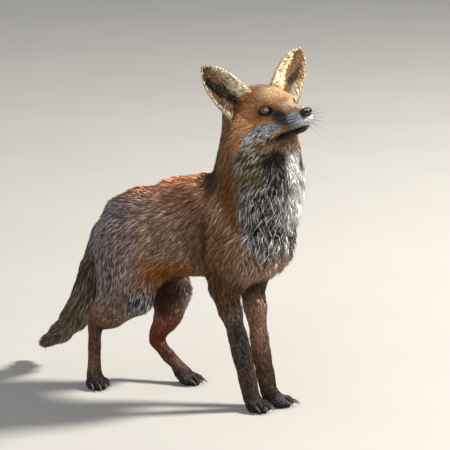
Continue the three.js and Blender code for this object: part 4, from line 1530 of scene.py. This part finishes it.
def marked(n, hairy, group):
    """A group of markings: by the place of its root for a hair, and by its own place for bare skin."""
    values = {"Place": n.read("root") if hairy else n.place()}
    if hairy:
        values.update({"Fleck": n.read("hair", "Fac"), "Along": n.read("along", "Fac")})
    return n.fed("ShaderNodeGroup", values, node_tree=group)


def fur_material(colors):
    """Soft hair in the fox's markings."""
    made, n, shader = material("Fur", Specular_IOR_Level=0.25)
    color = marked(n, True, shared("Fox markings", markings, colors)).outputs["Color"]
    finish(n, shader, color, 1400.0, (0.5, 0.7), 0.25, 0.25)
    return made


def skin_material(colors):
    """The ground under the hair, in the same markings, darkened like the roots of the hair as painted shade
    under the coat.
    """
    made, n, shader = material("Skin", Specular_IOR_Level=0.2)
    color = marked(n, False, shared("Fox markings", markings, colors)).outputs["Color"]
    finish(n, shader, color, 700.0, (0.7, 0.9), 0.6, 0.6)
    return made


# Sockets for a place on an ear: how far up and inwards it is, the same with the edges streaked, its hair's
# fleck and how dark the ear is, which is painted shade: 1 paints the ear in shade, 0 lit from behind.
EarPlace = namedtuple("EarPlace", "up inward height across fleck dark")


def ear_cup(n, at, tones):
    """The inner face of an ear: tan where the ear is painted in shade and cream where it is painted lit from
    behind, with a dark hollow, grey-brown in the lit ear and nearly black as painted shade in the shaded
    one.
    """
    # Painted light and shade: a tan copy of the cup's colours for the ear in shade, a cream copy for the ear
    # lit from behind.
    color = n.blend(
        at.dark,
        tones(0.05, 0.5, (172, 130, 82), (226, 188, 138)),
        tones(0.2, 0.85, (100, 74, 50), (184, 148, 106)),
    )
    pale = n.product(n.span(at.across, 0.15, 0.5), n.span(at.height, 0.55, 0.9, 1.0, 0.25))
    color = n.blend(n.product(pale, n.span(at.fleck, 0.2, 0.5)), color, paint(238, 214, 172))
    centre, half = n.line(at.up, -1.1, 0.14), n.line(at.dark, 0.22, n.line(at.up, -0.2, 0.28))
    away = n.math("DIVIDE", n.math("ABSOLUTE", n.math("SUBTRACT", at.across, centre)), half)
    below_top = n.math("SUBTRACT", at.height, n.line(at.dark, 0.2, 0.62))
    above_foot = n.math("SUBTRACT", at.height, n.line(at.dark, -0.42, 0.26))
    hollow = n.product(
        n.span(away, 0.7, 1.3, 1.0, 0.0),
        n.span(below_top, -0.1, 0.08, 1.0, 0.0),
        n.span(above_foot, -0.08, 0.08),
    )
    # Painted shade: the hollow is nearly black in the ear in shade and grey-brown in the lit one.
    deep = n.blend(at.dark, paint(108, 94, 90), paint(34, 24, 20))
    return n.blend(hollow, color, n.blend(n.span(at.fleck, 0.66, 0.96), deep, paint(158, 140, 126)))


def ear_edges(n, at, color, tones):
    """The pale tuft in the cup of the ear painted in shade, the foot and root of an ear, the foot in lit and
    shaded copies of its colours, and its pale rim.
    """
    beside = n.math("ABSOLUTE", n.math("SUBTRACT", at.across, 0.42))
    above = n.math("ABSOLUTE", n.math("SUBTRACT", at.height, 0.27))
    tuft = n.product(
        n.span(beside, 0.1, 0.26, 1.0, 0.0),
        n.span(above, 0.08, 0.2, 1.0, 0.0),
        n.span(at.fleck, 0.25, 0.45),
        at.dark,
    )
    color = n.blend(tuft, color, paint(244, 230, 208))
    foot = n.product(n.span(at.across, -0.35, -0.6), n.span(at.height, 0.14, 0.26, 1.0, 0.0))
    # Painted light and shade again: a pale copy of the foot's colours for the lit ear, a tan copy for the
    # ear in shade.
    foot_color = n.blend(
        at.dark,
        tones(0.2, 0.6, (150, 130, 116), (238, 230, 220)),
        tones(0.2, 0.8, (112, 80, 48), (196, 158, 110)),
    )
    color = n.blend(foot, color, foot_color)
    root = n.product(n.span(at.height, -0.02, 0.1, 1.0, 0.0), n.span(at.across, 0.2, 0.45))
    color = n.blend(root, color, tones(0.0, 1.0, (150, 98, 56), (220, 164, 108)))
    inner_rim = n.product(n.span(at.inward, n.line(at.up, 0.14, 0.74), 0.95), n.span(at.up, 0.02, 0.12))
    outer_rim = n.span(at.inward, -0.9, -0.96)
    rim = n.math("MAXIMUM", n.math("MAXIMUM", inner_rim, outer_rim), n.span(at.up, 0.965, 0.985))
    return n.blend(rim, color, tones(0.0, 0.6, (214, 186, 146), (250, 236, 212)))


def ear_back(n, at, tones):
    """The back of an ear: rust at its base, black above, with a pale edge."""
    back = n.blend(n.span(at.height, 0.1, 0.4), paint(150, 92, 54), paint(36, 29, 28))
    sides = n.span(n.math("ABSOLUTE", at.inward), 0.84, 0.95)
    edge = n.math("MAXIMUM", sides, n.span(at.up, 0.93, 0.97))
    return n.blend(edge, back, tones(0.0, 1.0, (60, 44, 36), (214, 194, 160)))


def ear_colors():
    """An ear's colours: a black back, pale edges, and a dark hollow up the outer side of the cup. Dark sets
    how far the cup is painted in shade (1) rather than lit from behind (0), and the hair is darker towards
    its root as painted shade.
    """
    # Dark is painted shade: 1 for an ear in shade, 0 for an ear lit from behind.
    inputs = {"Leaf": "Vector", "Place": "Vector", "Fleck": 0.0, "Along": 0.0, "Dark": 1.0}
    tree, n, given = new_tree("Ear markings", "ShaderNodeTree", inputs, {"Color": "Color"})
    up, inward, face = n.parts(given["Leaf"])
    streak = n.math("SUBTRACT", n.noise(given["Place"], 190.0, 2.0), 0.5)
    height, across = n.line(streak, 0.3, up), n.line(streak, 0.5, inward)
    at = EarPlace(up, inward, height, across, given["Fleck"], given["Dark"])

    def tones(low, high, first, second):
        return n.blend(n.span(at.fleck, low, high), paint(*first), paint(*second))

    cup = ear_edges(n, at, ear_cup(n, at, tones), tones)
    color = n.blend(n.span(face, 0.4, 0.6), ear_back(n, at, tones), cup)
    # Painted shade: the hair is darker towards its root, and the bare shell, with no Along, is as dark as
    # the roots, for the shade deep in the ear's hair.
    n.fed("NodeGroupOutput", {"Color": n.scale(color, n.line(given["Along"], 0.45, 0.65))})
    return tree


def ear_material(side, hairy, colors):
    """An ear's hair, or the skin under it, in the ear's own markings."""
    made, n, shader = material(f"Ear {side} {'hair' if hairy else 'skin'}", Specular_IOR_Level=0.25)
    group = marked(n, hairy, shared("Ear markings", ear_colors))
    n.join(n.read("leaf"), group.inputs["Leaf"])
    # How much painted shade this ear's inside gets.
    group.inputs["Dark"].default_value = getattr(colors, f"ear_painted_shade_{side}")
    finish(n, shader, group.outputs["Color"], 1400.0, (0.55, 0.75), 0.3, 0.25)
    return made


def eye_material(colors):
    """A wet eye: a fibrous iris, a dark rim, an upright pupil tinted blue-grey as a painted reflection of
    the sky, and a clear coat over them.
    """
    made, n, shader = material("Eye", Coat_Weight=1.0, Coat_Roughness=0.02)
    a, b, _ = n.parts(n.read("look"))
    spread = n.math("SQRT", n.math("ADD", n.math("POWER", a, 2.0), n.math("POWER", b, 2.0)))
    wide, tall = colors.pupil_width, colors.pupil_width * 1.2
    across = n.math("POWER", n.math("DIVIDE", a, wide), 2.0)
    slit = n.math("SQRT", n.math("ADD", across, n.math("POWER", n.math("DIVIDE", b, tall), 2.0)))
    turn = n.math("ARCTAN2", a, b)
    fibre = n.noise(n.whole(n.product(turn, 9.0), spread), 1.6, 3.0)
    color = n.blend(n.span(spread, 0.3, 0.72), paint(206, 158, 92), (*colors.iris, 1.0))
    color = n.blend(n.product(n.span(fibre, 0.45, 0.65), 0.5), color, paint(104, 64, 26))
    color = n.blend(n.span(spread, 0.68, 0.8), color, paint(16, 11, 9))
    # Painted reflection: the pupil's colour carries a blue-grey tint for the sky seen in it.
    color = n.blend(n.span(slit, 0.88, 1.08), (*colors.pupil, 1.0), color)
    finish(n, shader, color, 900.0, (0.05, 0.09), 0.12, 0.12, also=fibre)
    return made


def nose_material(colors, name="Nose", limits=(0.34, 0.5), coat=0.1):
    """Bare leather, pebbled over with shallow cracks between the pebbles, the cracks darkened as painted
    shade.
    """
    made, n, shader = material(name, Specular_IOR_Level=0.4, Coat_Weight=coat, Coat_Roughness=0.25)
    values = {"Vector": n.place(), "Scale": 900.0}
    pebbles = n.fed("ShaderNodeTexVoronoi", values, feature="DISTANCE_TO_EDGE")
    raised = n.span(pebbles.outputs["Distance"], 0.0, 0.22)
    # Painted shade: the cracks between the pebbles are darkened to about a third.
    color = n.blend(raised, n.scale((*colors.nose,), 0.35), (*colors.nose, 1.0))
    finish(n, shader, color, 1600.0, limits, 0.35, 0.3, also=raised)
    return made


def claw_material(colors):
    """Dark horn with fine lines along its growth, paler and smoother towards the worn point."""
    made, n, shader = material("Claws", Specular_IOR_Level=0.5)
    growth = n.read("growth")
    lines = n.noise(n.vector("MULTIPLY", growth, (1.2, 5.0, 5.0)), 2.2, 3.0)
    length = n.parts(growth)[0]
    tip = n.span(length, 0.35, 1.0)
    color = n.blend(n.span(lines, 0.35, 0.65), (*colors.claw, 1.0), paint(104, 92, 80))
    color = n.blend(n.product(tip, 0.6), color, paint(108, 96, 82))
    color = n.blend(n.span(length, 0.0, 0.3, 0.6, 0.0), color, paint(34, 28, 26))
    finish(n, shader, color, 1100.0, (0.3, 0.5), 0.3, 0.3, also=lines)
    return made


def whisker_material(colors):
    """Stiff dark hair, a little paler and duller at its tip."""
    made, n, shader = material("Whiskers", Specular_IOR_Level=0.5)
    color = n.blend(n.read("taper", "Fac"), (*colors.whisker, 1.0), paint(58, 48, 44))
    finish(n, shader, color, 600.0, (0.3, 0.45), 0.1, 0.05)
    return made


def floor_material(color):
    """A plain pale floor with a faint, fine unevenness."""
    made, n, shader = material("Floor", Specular_IOR_Level=0.3)
    cloud = n.span(n.noise(n.place(), 3.0, 2.0), 0.3, 0.7, 0.985, 1.015)
    finish(n, shader, n.scale((*color,), cloud), 240.0, (0.86, 0.94), 0.05, 0.4)
    return made


def placed(obj, slot, look, *nodes):
    """Gives a piece its finish, lets it ride on the fox and hides the model's nodes that it stands for."""
    obj.data.materials.clear()
    obj.data.materials.append(look)
    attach(obj, "root")
    if nodes:
        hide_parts(*nodes)
    return obj


STAGE_MIDDLE = Vector((0.0406, 0.1056, 0.27))
FLOOR_HALF = 15  # metres from the middle of the floor to its edge
SKY_TINT = (0.92, 0.95, 1.0, 1)
SENSOR = 36  # width of the camera's sensor, in millimetres
# Each light's place, in metres from the middle of the fox: to the right of the camera's view, away
# from the camera and up. Then its width in metres and its colour.
KEY = ((4.3, 0.7, 3.9), 1.0, (1, 0.95, 0.88))
FILL = ((-0.9, -2.4, 1.3), 2.0, (1, 0.98, 0.96))


def lamp(name, power, turn, place, size, tint):
    """A soft square light that shines on the middle of the fox."""
    right = Vector((math.cos(turn), math.sin(turn), 0))
    away = Vector((-right.y, right.x, 0))
    offset = right * place[0] + away * place[1] + Vector((0, 0, place[2]))
    data = bpy.data.lights.new(name, "AREA")
    data.size = size
    data.energy = power
    data.color = tint
    made = linked(name, data)
    made.location = STAGE_MIDDLE + offset
    made.rotation_euler = (-offset).to_track_quat("-Z", "Y").to_euler()


def build_stage(stage):
    """A plain pale floor, soft light from the fox's left and the camera."""
    scene = bpy.context.scene
    corners = [(x * FLOOR_HALF, y * FLOOR_HALF, 0) for x, y in ((-1, -1), (1, -1), (1, 1), (-1, 1))]
    floor = new_object("floor", corners, [(0, 1, 2, 3)])
    floor.data.materials.append(floor_material(stage.floor))
    world = bpy.data.worlds.new("Studio")
    scene.world = world
    world.use_nodes = True
    world.node_tree.nodes["Background"].inputs[0].default_value = SKY_TINT
    world.node_tree.nodes["Background"].inputs[1].default_value = stage.surround
    scene.view_settings.view_transform = "Standard"
    lamp("key", stage.key_power, stage.turn, *KEY)
    lamp("fill", stage.fill_power, stage.turn, *FILL)
    data = bpy.data.cameras.new("camera")
    data.sensor_width = SENSOR
    data.lens = stage.lens
    camera = linked("camera", data)
    level = math.cos(stage.rise)
    way = Vector((math.sin(stage.turn) * level, -math.cos(stage.turn) * level, math.sin(stage.rise)))
    camera.location = STAGE_MIDDLE + way * stage.distance
    camera.rotation_euler = (-way).to_track_quat("-Z", "Y").to_euler()
    scene.camera = camera


# ------------------------------------------------------------------ settings


def color_setting(name, text, red, green, blue):
    tint = paint(red, green, blue)[:3]
    return FloatVectorProperty(name=name, description=text, default=tint, min=0, max=1, subtype="COLOR")


def number_setting(name, text, value, **kind):
    return FloatProperty(name=name, description=text, default=value, **kind)


def size_setting(name, text, millimetres, low, high):
    kind = {"precision": 5, "subtype": "DISTANCE", "unit": "LENGTH"}
    return number_setting(name, text, millimetres * MM, min=low * MM, max=high * MM, **kind)


def share_setting(name, text, value, low, high):
    return number_setting(name, text, value, min=low, max=high, subtype="FACTOR")


class FOX_PG_coat(bpy.types.PropertyGroup):
    """The skin's mesh and the locks that grow from it."""

    skin_cell: size_setting("Skin mesh", "Size of the skin's faces on the body", SKIN_CELL, 3, 8)
    hair_length: share_setting("Hair length", "Length as a share of the fox's own", 1.0, 0.5, 1.3)
    spacing: share_setting("Spacing", "Gap between locks, as a share of the usual gap", 1.0, 1.0, 3.0)
    lock_width: share_setting("Lock width", "Width as a share of the usual width", 1.0, 0.5, 2.0)
    ear_spacing: size_setting("Ear hair spacing", "Gap between the locks of the ears", 1.02, 1.0, 4.0)
    seed: IntProperty(name="Seed", description="Seed of everything random in the coat", default=7, min=0)


class FOX_PG_sizes(bpy.types.PropertyGroup):
    """Sizes of the ears, claws and whiskers."""

    ear_length: size_setting("Ear length", "From an ear's base to its tip", EAR["long"], 60, 100)
    claw_length: size_setting("Claw length", "From inside the toe to the point", CLAW["length"], 6, 18)
    claw_thickness: size_setting("Claw thickness", "Depth of a claw at its root", CLAW["thick"], 2, 7)
    whisker_shortest: size_setting("Shortest whisker", "Length at the front of the lip", 16, 5, 60)
    whisker_longest: size_setting("Longest whisker", "Length at the back of the lip", 62, 20, 110)
    whisker_thickness: size_setting("Whisker thickness", "Across a whisker at its root", 0.52, 0.2, 1.2)


class FOX_PG_colors(bpy.types.PropertyGroup):
    """The main colour of each of the fox's large markings and bare parts."""

    flank: color_setting("Flanks", "Sides of the body", 136, 103, 84)
    rear: color_setting("Hindquarters", "Grey hair over the haunches", 90, 76, 80)
    belly: color_setting("Belly", "Golden hair low on the body", 118, 63, 12)
    # The back's rufous is partly painted sunlight, brighter than the hair's own colour.
    back: color_setting("Back", "Bright hair along the back", 232, 150, 104)
    nape: color_setting("Nape", "Dark hair at the back of the neck", 42, 24, 18)
    neck: color_setting("Neck", "Ochre sides of the neck", 146, 98, 44)
    breast: color_setting("Breast", "Dark ground of the breast, flecked white", 20, 18, 19)
    bib: color_setting("Bib", "White down the front of the throat and breast", 252, 249, 245)
    foreleg: color_setting("Forelegs", "Lower part of the forelegs", 104, 69, 51)
    inner_thigh: color_setting("Inner thighs", "Rust inside the hind legs", 56, 26, 8)
    feet: color_setting("Feet", "Dark feet", 40, 32, 33)
    tail: color_setting("Tail", "Brush of the tail", 68, 53, 44)
    head: color_setting("Head", "Ground colour of the head", 196, 132, 80)
    # The forehead's pale rust is partly painted sunlight, brighter than the hair's own colour.
    forehead: color_setting("Forehead", "Pale rust between the brows", 255, 212, 160)
    cheek: color_setting("Cheeks", "Rust behind the eyes", 222, 152, 98)
    # The muzzle's blue tint is painted skylight in shade; the hair itself is white.
    muzzle: color_setting("Muzzle", "Pale sides of the muzzle", 194, 204, 222)
    tear_mark: color_setting("Tear marks", "Dark marks before the eyes", 52, 45, 54)
    throat: color_setting("Throat", "Dark throat", 30, 24, 21)
    iris: color_setting("Iris", "Outer part of the iris", 140, 92, 44)
    # The pupil's blue-grey tint is a painted reflection of the sky.
    pupil: color_setting("Pupil", "Upright pupil", 20, 28, 44)
    pupil_width: share_setting("Pupil width", "Width as a share of the eyeball", 0.42, 0.05, 0.6)
    nose: color_setting("Nose", "Bare leather of the nose and lid rims", 17, 16, 18)
    claw: color_setting("Claws", "Dark horn", 66, 57, 51)
    whisker: color_setting("Whiskers", "Whiskers at their roots", 24, 19, 18)
    # Painted shade and light in the ears: the right ear's inside is painted as in shade, the left's as lit
    # from behind.
    ear_painted_shade_right: share_setting("Right ear's hollow", "How dark the right ear is inside", 1.0, 0.0, 1.0)
    ear_painted_shade_left: share_setting("Left ear's hollow", "How dark the left ear is inside", 0.12, 0.0, 1.0)


class FOX_PG_stage(bpy.types.PropertyGroup):
    """The floor, the light and the camera."""

    floor: color_setting("Floor", "Plain pale floor", 150, 148, 144)
    surround: number_setting("Surround", "Light from all round", 0.6, min=0)
    key_power: number_setting("Key light", "Light from the fox's left", 1130, min=0, unit="POWER")
    fill_power: number_setting("Fill light", "Soft light from beside the camera", 34, min=0, unit="POWER")
    turn: number_setting("Turn", "Camera's turn round the fox", math.radians(40), subtype="ANGLE")
    rise: number_setting("Rise", "Camera's angle above level", math.radians(10), subtype="ANGLE")
    distance: number_setting("Distance", "Camera to the fox's middle", 5.0, min=1.0, subtype="DISTANCE")
    lens: number_setting("Lens", "Focal length in millimetres", 240, min=20)


SETTINGS = {
    "fox_coat": FOX_PG_coat,
    "fox_sizes": FOX_PG_sizes,
    "fox_colors": FOX_PG_colors,
    "fox_stage": FOX_PG_stage,
}


# ------------------------------------------------------------------ operators


def found(name):
    """A piece that an earlier operator built."""
    piece = bpy.data.objects.get(name)
    if piece is None:
        raise RuntimeError(f"{name} isn't built yet")
    return piece


def randoms(context, number):
    """Random numbers of an operator's own, from the coat's seed."""
    return np.random.default_rng(context.scene.fox_coat.seed + number)


class FOX_OT_skin(bpy.types.Operator):
    """Build the skin that stands for all of the fox's flesh"""

    bl_idname = "fox.skin"
    bl_label = "Skin"

    def execute(self, context):
        skin = build_skin(fox_form(), context.scene.fox_coat.skin_cell)
        unwrap(skin)
        placed(skin, "coat", skin_material(context.scene.fox_colors), *FLESH)
        return {"FINISHED"}


class FOX_OT_eyes(bpy.types.Operator):
    """Build both eyeballs and the bare rims of their lids"""

    bl_idname = "fox.eyes"
    bl_label = "Eyes and lid rims"

    def execute(self, context):
        colors = context.scene.fox_colors
        wet = eye_material(colors)
        rim = nose_material(colors, "Lid rims", (0.25, 0.4), 0.3)
        for side in SIDES:
            placed(build_eyeball(side), "eye", wet, f"eye_{side}")
            placed(build_lid_rim(side), "nose_leather", rim)
        return {"FINISHED"}


class FOX_OT_nose(bpy.types.Operator):
    """Build the bare nose with its nostrils"""

    bl_idname = "fox.nose"
    bl_label = "Nose"

    def execute(self, context):
        placed(build_nose(), "nose_leather", nose_material(context.scene.fox_colors), "nose")
        return {"FINISHED"}


class FOX_OT_ears(bpy.types.Operator):
    """Build the cupped shells of both ears"""

    bl_idname = "fox.ears"
    bl_label = "Ears"

    def execute(self, context):
        for side in SIDES:
            shell = build_ear(side, context.scene.fox_sizes)
            unwrap(shell)
            placed(shell, "ear", ear_material(side, False, context.scene.fox_colors), f"ear_{side}")
        return {"FINISHED"}


class FOX_OT_claws(bpy.types.Operator):
    """Build the four claws of each paw"""

    bl_idname = "fox.claws"
    bl_label = "Claws"

    def execute(self, context):
        horn = claw_material(context.scene.fox_colors)
        for side in SIDES:
            for paw in ("fore", "hind"):
                for number in (1, 2, 3, 4):
                    claw = build_claw(paw, side, number, context.scene.fox_sizes)
                    placed(claw, "claw", horn, f"{paw}claw_{side}_{number}")
        return {"FINISHED"}


class FOX_OT_coat(bpy.types.Operator):
    """Grow the locks of the coat from the skin"""

    bl_idname = "fox.coat"
    bl_label = "Coat"

    def execute(self, context):
        fur = fur_material(context.scene.fox_colors)
        coat = context.scene.fox_coat
        for piece in build_coat(fox_form(), found("skin"), randoms(context, 0), coat):
            placed(piece, "coat", fur)
        return {"FINISHED"}


class FOX_OT_ear_hair(bpy.types.Operator):
    """Grow the hair of both ears from their shells"""

    bl_idname = "fox.ear_hair"
    bl_label = "Ear hair"

    def execute(self, context):
        for number, side in enumerate(SIDES):
            shell = found(f"ear_shell_{side}")
            hair = build_ear_coat(side, shell, randoms(context, 1 + number), context.scene.fox_coat)
            placed(hair, "ear", ear_material(side, True, context.scene.fox_colors))
        return {"FINISHED"}


class FOX_OT_whiskers(bpy.types.Operator):
    """Grow the whiskers from the muzzle, brows and chin"""

    bl_idname = "fox.whiskers"
    bl_label = "Whiskers"

    def execute(self, context):
        look = whisker_material(context.scene.fox_colors)
        whiskers = build_whiskers(fox_form(), context.scene.fox_sizes, randoms(context, 3), look)
        placed(whiskers, "dark_coat", look)
        return {"FINISHED"}


class FOX_OT_stage(bpy.types.Operator):
    """Set the floor, the light and the camera"""

    bl_idname = "fox.stage"
    bl_label = "Stage"

    def execute(self, context):
        build_stage(context.scene.fox_stage)
        return {"FINISHED"}


STEPS = (FOX_OT_skin, FOX_OT_eyes, FOX_OT_nose, FOX_OT_ears, FOX_OT_claws, FOX_OT_coat)
STEPS += (FOX_OT_ear_hair, FOX_OT_whiskers, FOX_OT_stage)


class FOX_PT_panel(bpy.types.Panel):
    """Lists the steps of the fox and their settings"""

    bl_idname = "FOX_PT_panel"
    bl_label = "Red Fox"
    bl_space_type = "VIEW_3D"
    bl_region_type = "UI"
    bl_category = "Fox"

    def draw(self, context):
        steps = self.layout.column(align=True)
        for step in STEPS:
            steps.operator(step.bl_idname)
        for name, group in SETTINGS.items():
            box = self.layout.box()
            box.label(text=name.replace("fox_", "").capitalize())
            for setting in group.__annotations__:
                box.prop(getattr(context.scene, name), setting)


CLASSES = (*SETTINGS.values(), *STEPS, FOX_PT_panel)


def register():
    for each in CLASSES:
        bpy.utils.register_class(each)
    for name, group in SETTINGS.items():
        setattr(bpy.types.Scene, name, PointerProperty(type=group))


def unregister():
    for name in SETTINGS:
        delattr(bpy.types.Scene, name)
    for each in reversed(CLASSES):
        bpy.utils.unregister_class(each)


def main():
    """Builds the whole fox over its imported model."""
    register()
    bpy.ops.fox.skin()
    bpy.ops.fox.eyes()
    bpy.ops.fox.nose()
    bpy.ops.fox.ears()
    bpy.ops.fox.claws()
    bpy.ops.fox.coat()
    bpy.ops.fox.ear_hair()
    bpy.ops.fox.whiskers()
    bpy.ops.fox.stage()
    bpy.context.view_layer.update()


if __name__ == "__main__":
    main()
